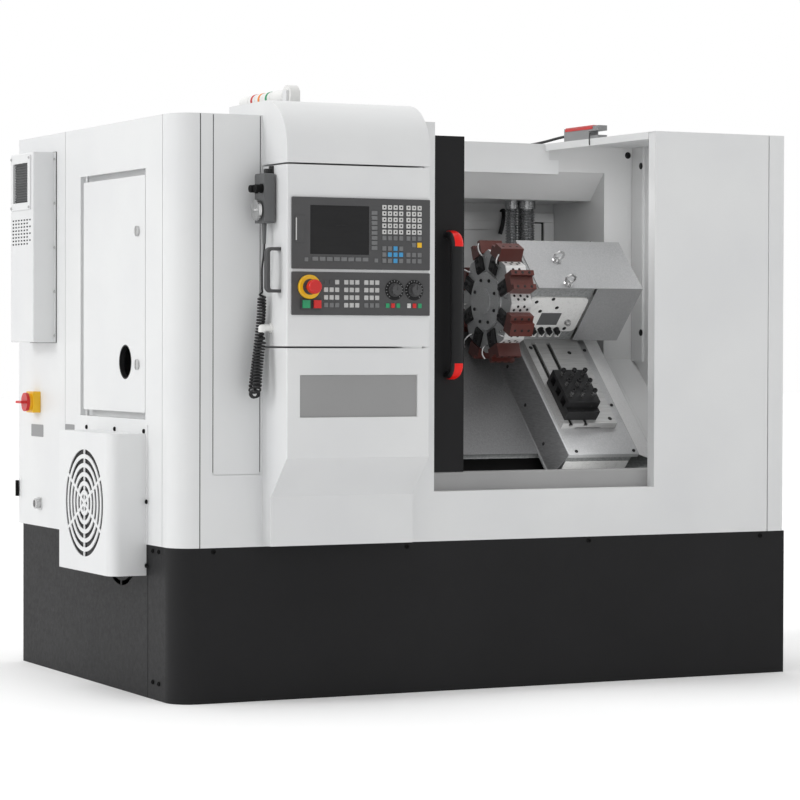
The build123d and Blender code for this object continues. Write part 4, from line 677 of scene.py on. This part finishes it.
def filter_mat():
    """Pleated filter mat: a sheet whose depth follows a wave up its height, closed by a flat back."""
    heights = np.linspace(-FILTER_HALF_HEIGHT, FILTER_HALF_HEIGHT, 121)
    up, across = np.meshgrid(heights, np.linspace(FILTER_HALF_WIDTH, -FILTER_HALF_WIDTH, 5))
    wave = PLEAT_DEPTH * np.sin(2 * np.pi * up / PLEAT_PITCH)
    front = np.stack((FILTER_X - wave, COOLER_Y + across, FILTER_Z + up), -1)
    back = np.stack((np.full_like(up, FILTER_BACK_X), COOLER_Y + across, FILTER_Z + up), -1)
    rim = np.concatenate((front, back[:, ::-1]), 1)
    piece("filter_mat", skin(spots(rim)), "machine", "black_plastic", "filter_grey")


def vent_backs():
    """Dark blocks behind the cooler's slots: a grid of tiles, and one half a pitch on and down from it."""
    slots = []
    for shift, columns in ((0, 7), (0.5, 6)):
        y, z = np.meshgrid(
            COOLER_Y + VENT_PITCH_Y * (centred(columns) + shift),
            VENT_Z + VENT_PITCH_Z * (centred(VENT_ROWS) - shift),
        )
        slots.append(np.stack((np.full(y.size, VENT_X), y.ravel(), z.ravel()), -1))
    dark = repeated(tile(LEFT, *VENT_BACK), spots(np.concatenate(slots)))
    piece("vent_backs", dark, "machine", "black_plastic", "deep_black")


def fan_mat():
    """Dark mat behind the round vent: a disc whose rise waves with its radius."""
    radius = np.linspace(FAN_MAT_RADIUS - FAN_MAT_EDGE, FAN_MAT_MIDDLE, 33)
    rise = FAN_MAT_RISE + FAN_RING_DEPTH * np.cos(2 * np.pi * radius / FAN_RING_PITCH)
    profile = np.concatenate((((FAN_MAT_RADIUS, 0.0),), np.stack((radius, rise), -1)))
    piece("fan_mat", repeated(turned(LEFT, profile, 48), spots(FAN_SPOT)), "machine", "black_plastic")


def side_plates():
    """Two bare plates and a flanged connector on the left side, and sleeves on the rear door's hinges."""
    piece("bare_plates", tiles(*BARE_PLATES), "machine", "grey_plastic")
    connector = joined(tile(LEFT, *INLET_FLANGE), turned(LEFT, INLET_BARREL, 24))
    piece("power_inlet", repeated(connector, spots(INLET_SPOT)), "machine", "latch_metal")
    feet = spots([(HINGE_X, HINGE_Y, z - SLEEVE_HALF) for z in HINGE_Z])
    piece("hinge_sleeves", repeated(turned(TOP, SLEEVE), feet), "cabinet_door", "black_steel", "deep_black")


def seam_strips():
    """Dark seals at the bottom of the panel seams, a dark rim of painted shade round the foot of the cooler,
    and black painted shade on the wall of the bar hole in the side door."""
    piece("seam_seals_and_cooler_shade", tiles(*SEALS), "machine", "black_plastic")
    # Painted shade: the wall of the bar hole is black, as the shade inside the hole
    hole_shade = repeated(turned(LEFT, BAR_HOLE_SHADE_RING, 48, True), spots((0, AXIS_Y, AXIS_Z)))
    piece("bar_hole_painted_shade", hole_shade, "side_door_leaf", "black_plastic")


def console_field():
    """Grey field in the shallow recess of the console."""
    piece("console_field", tiles(CONSOLE_FIELD), "machine", "faceplate_grey", "field_grey")


side_fasteners()
filter_mat()
vent_backs()
fan_mat()
side_plates()
seam_strips()
console_field()


# Operator panels
PLATE_Y = -175
KEY, CAP_CORNER, CAP_EDGE = (12.6, 12.6), 1.4, 0.6
KEY_PITCH = (17.5, 17.2)
LEFT_BLOCK_X, RIGHT_BLOCK_X = 585, 651.7
LEFT_COLUMNS, RIGHT_COLUMNS, KEY_ROWS = 4, 3, 6
KEYS_Z, LOW_KEYS_Z, SHORT_KEYS_Z = 1348.3, 1259, 1250.4
KEY_MARK, KEY_MARK_PROUD = (4.6, 4.6, 0.4, 0.8, 0.2), 2.2
ARROW_CENTRE = (593.75, LOW_KEYS_Z)
EDIT_KEY_X, BRIGHT_KEY_X, BRIGHT_KEY_Z = 651.75, 669.25, 1287
MODE_BLOCKS = (396, 458, 520)
MODE_Z, MODE_PITCH = 1148, (17, 21.3)
SIDE_KEY_X, SIDE_KEY_Z = (319, 534), 1242
SOFT_COLUMN, SOFT_COLUMN_PITCH = (528, 1326), (14, 14)
SOFT_ROW, SOFT_ROW_PITCH = (423, 1244), (22, 22)
DRIVE_KEY_Z = 1116
DRIVE_KEYS = (
    ("drive_keys_green", "green_plastic", "green_plastic", (570, 603, 671)),
    ("drive_keys_red", "red_plastic", "red_plastic", (586.5, 654)),
    ("drive_keys_white", "pale_plastic", "white_plastic", (637,)),
)
STOP_SPOT = (327, PLATE_Y, 1166)
STOP_COLLAR = ((33.5, 0), (33.5, 6.8), (31.5, 8.8), (22, 8.8), (22, 8.1), (33, 0.2))
DIAL_X, DIAL_Z = (591, 653), 1160
DIAL_PLATE_RISE = 1.2
DIAL_PLATE = ((29, 0), (29, 0.8), (28.4, DIAL_PLATE_RISE))
DIAL_TICK = (1.5, 4.5, 0.4, 0.5, 0.15)
SCALE_RADIUS, SCALE_TURN = 25, 140
SLOT_COVER = (FRONT, (30, 76, 1.4, 2, 0.5), (299, PLATE_Y, 1326))
SLOT_PULL = (FRONT, (3.2, 62, 2.6, 1.2, 0.5), (288, PLATE_Y, 1326))
SELECTOR = ((13, 0), (13, 5), (10.7, 6), (10.7, 20), (9.5, 23))
SELECTOR_SPOTS = ((225, -83.5, 1440), (225, -49.5, 1440))
HOOK = ((LEFT, (26, 44, 5, 3, 1), (263, -66.5, 1482)), (LEFT, (18, 16, 22, 3, 1.5), (263, -66.5, 1488)))


def grid(centre, columns, rows, pitch):
    """Stations of a grid of keys about a centre on the face plate."""
    x, z = np.meshgrid(centre[0] + pitch[0] * centred(columns), centre[1] + pitch[1] * centred(rows))
    return np.stack((x.ravel(), np.full(x.size, PLATE_Y), z.ravel()), -1)


def caps(name, places, size, finish, slot, rise=2.3):
    """Key caps: one rounded tile at each place, over the plain key."""
    cap = tile(FRONT, *size, rise, CAP_CORNER, CAP_EDGE)
    piece(name, repeated(cap, spots(places)), "operator_box", slot, finish)


def letter_keys():
    """Key caps of the letter panel by colour: pale letters, arrows in a cross, grey edit keys, bright key."""
    blocks = ((LEFT_BLOCK_X, LEFT_COLUMNS), (RIGHT_BLOCK_X, RIGHT_COLUMNS))
    upper = np.concatenate([grid((x, KEYS_Z), columns, KEY_ROWS, KEY_PITCH) for x, columns in blocks])
    lowest = upper[:, 2] < KEYS_Z - 2 * KEY_PITCH[1]
    pale = upper[~lowest]
    caps("letter_keys", pale, KEY, "pale_plastic", "white_plastic")
    marks = repeated(tile(FRONT, *KEY_MARK), spots(pale + (0, -KEY_MARK_PROUD, 0)))
    piece("key_marks", marks, "operator_box", "black_plastic")
    steps = np.array(((0, 1), (-1, 0), (0, 0), (1, 0), (0, -1)))
    cross = np.insert(ARROW_CENTRE + steps * KEY_PITCH, 1, PLATE_Y, axis=1)
    caps("arrow_keys", cross, KEY, "blue_plastic", "grey_plastic")
    tall = grid((LEFT_BLOCK_X, LOW_KEYS_Z), LEFT_COLUMNS, 3, KEY_PITCH)
    short = grid((RIGHT_BLOCK_X, SHORT_KEYS_Z), RIGHT_COLUMNS, 2, KEY_PITCH)
    low = np.concatenate((tall, short))
    apart = np.abs(low[:, None] - cross).max(-1).min(-1) > 2
    edit = np.concatenate((upper[lowest], low[apart], ((EDIT_KEY_X, PLATE_Y, BRIGHT_KEY_Z),)))
    caps("edit_keys", edit, KEY, "dim_key", "grey_plastic")
    bright = ((BRIGHT_KEY_X, PLATE_Y, BRIGHT_KEY_Z),)
    caps("bright_key", bright, (14, 14), "yellow_plastic", "yellow_plastic")


def screen_keys():
    """Small keys at both ends of the row under the screen, and soft keys under and beside it."""
    ends = [(x, PLATE_Y, SIDE_KEY_Z) for x in SIDE_KEY_X]
    caps("side_keys", ends, (11, 11), "dim_key", "grey_plastic", 1.6)
    column = grid(SOFT_COLUMN, 1, 8, SOFT_COLUMN_PITCH)
    soft = np.concatenate((column, grid(SOFT_ROW, 8, 1, SOFT_ROW_PITCH)))
    caps("soft_keys", soft, (18, 11), "dim_key", "grey_plastic")


def mode_keys():
    """Key caps of the three mode blocks: pale, but grey in the lowest rows of the outer two, and none in the
    top row of the first; then the drive keys by colour."""
    mode = np.concatenate([grid((x, MODE_Z), 3, 4, MODE_PITCH) for x in MODE_BLOCKS])
    top_row = (mode[:, 2] > MODE_Z + MODE_PITCH[1]) & (mode[:, 0] < MODE_BLOCKS[0] + 10)
    low_row = (mode[:, 2] < MODE_Z - MODE_PITCH[1]) & (np.abs(mode[:, 0] - MODE_BLOCKS[1]) > 30)
    caps("mode_keys", mode[~top_row & ~low_row], KEY, "mode_key", "white_plastic")
    caps("plain_mode_keys", mode[low_row], KEY, "dim_key", "grey_plastic")
    for name, finish, slot, stations in DRIVE_KEYS:
        caps(name, [(x, PLATE_Y, DRIVE_KEY_Z) for x in stations], (11, 13), finish, slot, 1.8)


def panel_fittings():
    """Yellow collar of the stop button, scales and plates of the dials, the slot cover beside the screen."""
    collar = repeated(turned(FRONT, STOP_COLLAR, 40, True), spots(STOP_SPOT))
    piece("stop_collar", collar, "operator_box", "yellow_plastic")
    ticks = []
    for x in DIAL_X:
        for angle in np.radians(np.linspace(-SCALE_TURN, SCALE_TURN, 15)):
            side, up = math.sin(angle), math.cos(angle)
            face = np.array(((up, 0, -side), (side, 0, up), (0, -1, 0)))
            centre = spots((x + SCALE_RADIUS * side, PLATE_Y - DIAL_PLATE_RISE, DIAL_Z + SCALE_RADIUS * up))
            ticks.append(repeated(tile(face, *DIAL_TICK), centre))
    piece("dial_scales", joined(*ticks), "operator_box", "white_plastic", "grey_plastic")
    plates = repeated(turned(FRONT, DIAL_PLATE, 36), spots([(x, PLATE_Y, DIAL_Z) for x in DIAL_X]))
    piece("dial_plates", plates, "operator_box", "black_plastic")
    piece("slot_cover", tiles(SLOT_COVER), "operator_box", "faceplate_grey")
    piece("slot_pull", tiles(SLOT_PULL), "operator_box", "white_plastic", "pale_plastic")


def pendant_fittings():
    """Black selector knobs with a collar on the pendant, and the hook that it hangs from."""
    knobs = repeated(turned(LEFT, SELECTOR, 22), spots(SELECTOR_SPOTS))
    piece("selector_knobs", knobs, "operator_box", "black_plastic", "deep_black")
    piece("pendant_hook", tiles(*HOOK), "operator_box", "black_steel")


letter_keys()
screen_keys()
mode_keys()
panel_fittings()
pendant_fittings()


# Turret: holder bores by reach and offset, rim holes by place along the spindle and offset
TURRET_Y, TURRET_Z = 574.09, 1142.09
STATION_ANGLES = np.radians(25 + 45 * np.arange(8))
HOLDER_BORES = (((194, 12), (180, -21)), ((194, 23), (194, -23)))
HOLDER_BORE_X = (1292, 1316, 1340)
BORE_PLUG, CLAMP_SCREW, HUB_SCREW = flat_plug(4.5, 1.2), socket_head(6, 4), socket_head(5.5, 4)
RIM_REACH = 150
RIM_HOLES = ((1298, 38), (1320, 38), (1310, 50), (1332, 50), (1344, 40))
CLAMP_X, CLAMP_REACH = 1272, (110, 135)
HUB_X, HUB_REACH = 1276, 70
HUB_RING_X, HUB_RING_RADIUS, HUB_RING_THICK = 1283.6, 93.6, 1.4
PIPE_ROUTE = ((1287, 132, 40), (1262, 134, 42), (1254, 160, 44), (1266, 178, 40))
PIPE_RADIUS = 2.6


def station(angle, x, reach, aside):
    """Point of a turret station: along the spindle, out from the turret's centre, and to the side of that."""
    out = np.array((0.0, math.cos(angle), math.sin(angle)))
    side = np.array((0.0, -math.sin(angle), math.cos(angle)))
    return spots((x, TURRET_Y, TURRET_Z)) + MM * (reach * out + aside * side)


def turret_fittings():
    """Screws of the clamps and holders, bores in the rim, and a bent coolant pipe at each station."""
    bores, screws, pipes = [], [], []
    for order, angle in enumerate(STATION_ANGLES):
        out = (0.0, math.cos(angle), math.sin(angle))
        rim = np.array(((1, 0, 0), np.cross(out, (1, 0, 0)), out))
        head = turned(rim, BORE_PLUG, 14)
        rows = HOLDER_BORES[order % 2]
        bores.append(repeated(head, [station(angle, x, *row) for row in rows for x in HOLDER_BORE_X]))
        rim_holes = [station(angle, x, RIM_REACH, side * aside) for side in (-1, 1) for x, aside in RIM_HOLES]
        bores.append(repeated(head, rim_holes))
        clamp = turned(LEFT, CLAMP_SCREW, 16)
        screws.append(repeated(clamp, [station(angle, CLAMP_X, reach, 0) for reach in CLAMP_REACH]))
        path = bow([station(angle, *at) for at in PIPE_ROUTE], 16)
        pipes.append(tube(path, PIPE_RADIUS, np.array((0.0, -math.sin(angle), math.cos(angle))), 8))
    hub = [station(angle, HUB_X, HUB_REACH, 0) for angle in STATION_ANGLES]
    screws.append(repeated(turned(LEFT, HUB_SCREW, 16), hub))
    ring = turned(LEFT, round_section(HUB_RING_RADIUS, HUB_RING_THICK, 8), 64, True)
    ring = repeated(ring, spots((HUB_RING_X, TURRET_Y, TURRET_Z)))
    piece("hub_ring", ring, "turret", "latch_metal")
    piece("holder_bores", joined(*bores), "turret", "black_steel")
    piece("clamp_screws", joined(*screws), "turret", "black_steel")
    piece("coolant_pipes", joined(*pipes), "turret", "latch_metal")


# Slides: places along the machine, up the slant and square to it
EYE_SEATS = ((1480, 288, 157), (1480, 184, 157))
EYE_FOOT = ((15, 0), (15, 3), (10, 5), (8, 10), (6, 12))
EYE_RADIUS, EYE_THICK, EYE_RISE = 16, 4, 24
HOUSING_S, HOUSING_FRONT_S = 174, 180
HOUSING_FRONT, HOUSING_FRONT_SPOT = (212, 148, 6, 18, 1.5), (1471, HOUSING_FRONT_S, 33)
HOUSING_PLATE, HOUSING_PLATE_SPOT = (72, 52, 1.4, 2, 0.5), (1465, HOUSING_S, 15)
HOUSING_PLUG, TOOTH_PLUG, TABLE_PLUG = flat_plug(6.5, 1.2), flat_plug(3, 0.8), flat_plug(7, 1.2)
HOUSING_HOLES = ((1392, 88), (1447, 101), (1474, 64), (1420, 48), (1537, -27))
PORT_X, PORT_N = 1423 + 28.4 * np.arange(4), -30
TOOTH_X, TOOTH_N, TOOTH_PLUG_N = 1439 + 28.8 * np.arange(4), -55, -57
TOOTH = (17, 23, 6, 1.5, 0.8)
COUPLING = ((10, 0), (10, 4), (7.5, 5), (7.5, 11), (9.5, 12), (9.5, 17), (6, 18))
KNOB, KNOB_SPOT = ((11, 0), (11, 3), (8, 4), (8, 12), (6, 14), (3, 14.5)), (1536, HOUSING_S, 2)
TABLE_PLUGS = ((1424, 140, -80), (1555, 118, -80), (1585, -170, -80))
TABLE_SLOTS, SLOT_BOTTOM = ((1440, -15, -87), (1493, -15, -87)), (13.4, 349, 0.5, 0.4, 0.1)
STUD_X, STUD_S, STUD_N = (1438.5, 1476.5, 1514.5), (-128, -84, -40), -20
STUD_RADIUS, STUD_HEIGHT = 6.4, 21
STUD_HEAD, STUD_HEAD_RISE = socket_head(7.8, 7.5), 20.5
COVER_SCREW, FOLD_PLUG = socket_head(5.5, 3), flat_plug(6, 1.4)
COVER_SCREWS = ((1427, -287, -102), (1631, -287, -102), (1632, 150, -102), (1632, -92, -102))
FOLD_PLUGS = ((1377.5, -22, -171.7), (1377.8, 146, -170.3), (1377.5, -188, -171.7))
FOLD_OUTWARD = np.array((-0.967, -0.18, 0.18))


def eye_bolts():
    """Lifting eyes on the turret cover: a ring whose section goes round a circle, on a collared foot."""
    ring_face = np.array((SLANT[0], SLANT[2], -SLANT[1]))
    ring = turned(ring_face, round_section(EYE_RADIUS, EYE_THICK, 12), 28, True)
    seats = slides(EYE_SEATS)
    feet = repeated(turned(SLANT, EYE_FOOT, 22), seats)
    eyes = joined(feet, repeated(ring, seats + EYE_RISE * MM * SLANT[2]))
    piece("lifting_eyes", eyes, "cross_slide", "latch_metal")


def housing_fittings():
    """Front plate of the turret housing with its teeth, plugs, couplings, knob and bare plate, and the plugs
    and dark slot bottoms of the table beside it."""
    teeth = slides([(x, HOUSING_FRONT_S, TOOTH_N) for x in TOOTH_X])
    front = joined(
        repeated(tile(UNDER_SLANT, *HOUSING_FRONT), slides(HOUSING_FRONT_SPOT)),
        repeated(tile(UNDER_SLANT, *TOOTH), teeth),
    )
    piece("housing_front", front, "cross_slide", "white_paint", "bright_steel")
    holes = slides([(x, HOUSING_S, n) for x, n in HOUSING_HOLES])
    plugs = joined(
        repeated(turned(UNDER_SLANT, HOUSING_PLUG), holes),
        repeated(
            turned(UNDER_SLANT, TOOTH_PLUG, 12), slides([(x, HOUSING_S, TOOTH_PLUG_N) for x in TOOTH_X])
        ),
        repeated(turned(UNDER_SLANT, COUPLING), slides([(x, HOUSING_S, PORT_N) for x in PORT_X])),
        repeated(turned(SLANT, TABLE_PLUG), slides(TABLE_PLUGS)),
        repeated(tile(SLANT, *SLOT_BOTTOM), slides(TABLE_SLOTS)),
    )
    piece("cross_slide_plugs", plugs, "cross_slide", "black_steel")
    knob = repeated(turned(UNDER_SLANT, KNOB), slides(KNOB_SPOT))
    piece("housing_knob", knob, "cross_slide", "latch_metal")
    plate = repeated(tile(UNDER_SLANT, *HOUSING_PLATE), slides(HOUSING_PLATE_SPOT))
    piece("housing_plate", plate, "cross_slide", "grey_plastic", "pendant_grey")


def block_studs():
    """Clamping studs of the gang block: plain shanks, each under a socket head."""
    studs = slides([(x, s, STUD_N) for x in STUD_X for s in STUD_S])
    shanks = repeated(turned(SLANT, ((STUD_RADIUS, 0), (STUD_RADIUS, STUD_HEIGHT)), 16), studs)
    piece("stud_shanks", shanks, "cross_slide", "latch_metal", "stud_metal")
    heads = repeated(turned(SLANT, STUD_HEAD, 16), studs + STUD_HEAD_RISE * MM * SLANT[2])
    piece("stud_heads", heads, "cross_slide", "black_steel")


def cover_screws():
    """Screws on the flat of the way cover, and plugs on its fold, which faces left and a little outward."""
    flat = repeated(turned(SLANT, COVER_SCREW), slides(COVER_SCREWS))
    outward = FOLD_OUTWARD / np.linalg.norm(FOLD_OUTWARD)
    uphill = SLANT[1]
    lean = np.array((uphill, np.cross(outward, uphill), outward))
    fold = repeated(turned(lean, FOLD_PLUG), slides(FOLD_PLUGS))
    piece("way_cover_screws", joined(flat, fold), "carriage", "black_steel")


# Liner: plugs, tiles of the rear frame, and sheets by face, sizes, place, body, slot and finish
REAR_WALL_Y = 1019
SIDE_WALL_PLUGS, BACK_PLUG = ((1872, 620, 1586), (1872, 616, 1046)), (1858, 680, 1623)
ALCOVE_SCREWS = ((1770, 767, 1340), (1770, 900, 1340))
WALL_PLUG, ALCOVE_SCREW = flat_plug(11, 2), socket_head(5, 3)
FRAME_BARS = (
    (FRONT, (768, 31, 9, 1.5, 1), (1384, REAR_WALL_Y, 1430)),
    (FRONT, (38, 236, 9, 1.5, 1), (1750, REAR_WALL_Y, 1296)),
)
# Painted shade: thin dark strips along the inner edges of the frame bars
FRAME_SHADE_STRIPS = (
    (FRONT, (5, 240, 2, 0.6, 0.3), (1728, REAR_WALL_Y, 1294)),
    (FRONT, (60, 4, 2, 0.6, 0.3), (1698, REAR_WALL_Y, 1412)),
)
DARK, PALE = ("black_plastic", "deep_black"), ("white_paint", "liner_paint")
BRIGHT = ("sheet_steel", "bright_steel")
SHEETS = {
    # Painted shade: black sheet on the trough floor, where shadow falls
    "trough_painted_shade": (TOP, (606, 212, 1.0, 4, 0.4), spots((1080, 208, 560)), "machine", *DARK),
    "bed_apron": (SLANT, (636, 110, 0.8, 2, 0.3), slides((1082, -240, -240)), "machine", *DARK),
    "right_cover_leaf": (SLANT, (100, 600, 2, 1, 0.4), slides((1739.6, 98.5, -205)), "machine", *PALE),
    "saddle_front_strip": (
        UNDER_SLANT, (226, 34, 1.2, 2, 0.4), slides((1525, -280, -172)), "carriage", *BRIGHT
    ),
}


def liner_plugs():
    """Plugs on the right and rear walls of the liner, and screws in its alcove."""
    plugs = joined(
        repeated(turned(LEFT, WALL_PLUG), spots(SIDE_WALL_PLUGS)),
        repeated(turned(FRONT, WALL_PLUG), spots(BACK_PLUG)),
        repeated(turned(LEFT, ALCOVE_SCREW), spots(ALCOVE_SCREWS)),
    )
    piece("liner_plugs", plugs, "machine", "black_plastic")


def work_area_sheets():
    """Flat sheets, each a rounded tile: black painted shade on the trough floor, apron of the bed, leaf and
    front strip.
    """
    for name, (face, size, place, *rest) in SHEETS.items():
        piece(name, repeated(tile(face, *size), place), *rest)


def rear_frame():
    """Two bars of a frame on the rear wall, with thin dark strips of painted shade along their inner edges.
    """
    piece("rear_frame", tiles(*FRAME_BARS), "machine", "panel_paint", "liner_paint")
    piece("rear_frame_shade_strips", tiles(*FRAME_SHADE_STRIPS), "machine", "black_plastic", "deep_black")


# Hoses of the work area
CONDUITS = ((1520, 16), (1574, 25))
CONDUIT_Y, CONDUIT_Z, CONDUIT_HEIGHT = 850, 1181, 266
RIDGE_DEPTH, RIDGE_PITCH = 2.0, 8.9
HOSE_ROUTE = ((1578, 1016, 1446), (1576, 1000, 1444), (1570, 996, 1410), (1562, 1006, 1372))
HOSE_RADIUS = 7
HOSE_SOCKET, SOCKET_SPOT = ((11, 0), (11, 6), (9, 8)), (1578, REAR_WALL_Y, 1446)


def conduit_ridges():
    """Corrugated hoses: a radius that waves along the length, turned about each conduit."""
    rise = np.linspace(0, CONDUIT_HEIGHT, 241)
    hoses = []
    for x, radius in CONDUITS:
        wave = radius + RIDGE_DEPTH * (1 + np.cos(2 * np.pi * rise / RIDGE_PITCH))
        hose = turned(TOP, np.stack((wave, rise), -1), 28)
        hoses.append(repeated(hose, spots((x, CONDUIT_Y, CONDUIT_Z))))
    piece("conduit_ridges", joined(*hoses), "machine", "black_plastic", "conduit_metal")


def coolant_hose():
    """Dark hose that hangs from a socket on the rear wall of the work area."""
    hose = tube(bow(spots(HOSE_ROUTE), 20), HOSE_RADIUS, FRONT[0], 12)
    socket = repeated(turned(FRONT, HOSE_SOCKET), spots(SOCKET_SPOT))
    piece("coolant_hose", joined(hose, socket), "machine", "cord_rubber")


turret_fittings()
eye_bolts()
housing_fittings()
block_studs()
cover_screws()
liner_plugs()
work_area_sheets()
rear_frame()
conduit_ridges()
coolant_hose()


# Roof
LAMP_X, LAMP_Z = 483, 1736
LENSES = (
    ("lamp_lens_green", "green_plastic", "green_plastic", 428),
    ("lamp_lens_amber", "amber_plastic", "yellow_plastic", 482),
    ("lamp_lens_red", "red_plastic", "red_plastic", 536),
)
LENS_LENGTH, RIB_PITCH = 12, 4
LENS_RADIUS, RIB_DEPTH = 20.7, 0.3
SWITCH_COVER = (
    (TOP, (33, 176, 2.4, 3, 1), (1569, 466, 1690)),
    (LEFT, (172, 9, 1.4, 2, 0.5), (1552, 466, 1684.5)),
)
ROOF_GLAND, GLAND_SPOT = ((12, 0), (12, 6), (9, 10)), (1563, 884, 1650)
LEAD_PATH = (
    (1566, 560, 1668), (1566, 640, 1669), (1564, 700, 1654.6), (1563, 800, 1654.6), (1563, 880, 1654.6)
)
WIRE_PATH = ((1551, 392, 1668), (1546, 392, 1666), (1545.6, 391, 1640), (1545.6, 388, 1630))
LEAD_RADIUS, WIRE_RADIUS = 4.5, 1.6


def lamp_sleeves():
    """Coloured lenses of the tower lamp: shallow ribs turned about its column."""
    rise = np.linspace(0, LENS_LENGTH, 25)
    ribs = LENS_RADIUS + RIB_DEPTH * np.cos(2 * np.pi * rise / RIB_PITCH)
    lens = turned(REAR, np.stack((ribs, rise), -1), 32)
    for name, finish, slot, y in LENSES:
        piece(name, repeated(lens, spots((LAMP_X, y, LAMP_Z))), "signal_lamp", slot, finish)


def interlock_trim():
    """Red cover, lead and short wire of the door switch on the roof, and the gland where the lead goes in."""
    piece("switch_cover", tiles(*SWITCH_COVER), "machine", "red_plastic")
    leads = joined(
        tube(bow(spots(LEAD_PATH), 36), LEAD_RADIUS, TOP[0], 12),
        tube(bow(spots(WIRE_PATH), 16), WIRE_RADIUS, TOP[1], 8),
        repeated(turned(TOP, ROOF_GLAND), spots(GLAND_SPOT)),
    )
    piece("switch_leads", leads, "machine", "cord_rubber")


lamp_sleeves()
interlock_trim()


# Floor and light
FLOOR_REACH, FLOOR_DROP, FLOOR_GLOW = 40, 0.0005, 0.1
SKY_LIGHT, SKY_SEEN = 0.72, 1.0
WHITE = (1.0, 1.0, 1.0, 1.0)
LAMP_WIDTH, LAMP_DEPTH = 0.4, 0.14


def seen_rays(tree):
    """Share that is one for rays from the camera, off gloss or through glass, and nothing for the rest."""
    rays = tree.nodes.new("ShaderNodeLightPath").outputs
    seen = rays["Is Camera Ray"]
    for kind in ("Is Glossy Ray", "Is Transmission Ray"):
        either = tree.nodes.new("ShaderNodeMath")
        either.operation = "MAXIMUM"
        tree.links.new(seen, either.inputs[0])
        tree.links.new(rays[kind], either.inputs[1])
        seen = either.outputs[0]
    return seen


def paper_floor():
    """Wide pale floor that glows a little where it is seen, so that it shows white away from the shadow."""
    reach = (-FLOOR_REACH, FLOOR_REACH)
    corners = [(x, y, -FLOOR_DROP) for y in reach for x in reach]
    mesh = bpy.data.meshes.new("floor")
    mesh.from_pydata(corners, [], [[0, 1, 3, 2]])
    floor = bpy.data.objects.new("floor", mesh)
    scene.collection.objects.link(floor)
    coat = Recipe("floor_paper")
    grain = coat.band(coat.noise(3.0), 0.3, 0.7, 0.86, 0.9)
    coat.finish(
        Base_Color=coat.mix(grain, tone(236, 236, 236), tone(246, 246, 246)),
        Roughness=0.9,
        Specular_IOR_Level=0.1,
        Emission_Color=WHITE,
        Emission_Strength=coat.sum("MULTIPLY", seen_rays(coat.tree), FLOOR_GLOW),
    )
    mesh.materials.append(coat.material)


def even_sky():
    """Even sky that lights the part softly and shows white where it is seen."""
    sky = bpy.data.worlds.new("studio_sky")
    scene.world = sky
    sky.use_nodes = True
    tree = sky.node_tree
    backdrop = tree.nodes["Background"]
    backdrop.inputs["Color"].default_value = WHITE
    level = tree.nodes.new("ShaderNodeMapRange")
    level.inputs["To Min"].default_value = SKY_LIGHT
    level.inputs["To Max"].default_value = SKY_SEEN
    tree.links.new(seen_rays(tree), level.inputs["Value"])
    tree.links.new(level.outputs["Result"], backdrop.inputs["Strength"])


def soft_sun(name, toward, energy, spread):
    """Distant soft lamp that shines from a direction."""
    lamp = bpy.data.lights.new(name, "SUN")
    lamp.energy = energy
    lamp.angle = math.radians(spread)
    holder = bpy.data.objects.new(name, lamp)
    toward = np.array(toward) / np.linalg.norm(toward)
    side = np.cross((0, 1, 0), toward)
    side /= np.linalg.norm(side)
    holder.matrix_world = placed(side, np.cross(toward, side), toward, (0, 0, 0))
    scene.collection.objects.link(holder)


def work_lamp(name, spot, lean, energy):
    """Small soft lamp at the front of the work area, turned about the length of the machine from straight
    down."""
    lamp = bpy.data.lights.new(name, "AREA")
    lamp.shape = "RECTANGLE"
    lamp.size = LAMP_WIDTH
    lamp.size_y = LAMP_DEPTH
    lamp.energy = energy
    holder = bpy.data.objects.new(name, lamp)
    side, up = math.sin(math.radians(lean)), math.cos(math.radians(lean))
    holder.matrix_world = placed((1, 0, 0), (0, up, side), (0, -side, up), spots(spot))
    holder.visible_camera = False
    holder.visible_glossy = False
    scene.collection.objects.link(holder)


paper_floor()
even_sky()
soft_sun("key_light", (-0.87, 0.21, 0.445), 0.95, 24)
soft_sun("top_light", (0.0, 0.12, 1.0), 0.7, 30)
work_lamp("roof_lamp", (1620, 190, 1570), 20, 1.8)
work_lamp("sill_lamp", (1270, 135, 690), 125, 1.0)
scene.view_settings.view_transform = "Standard"
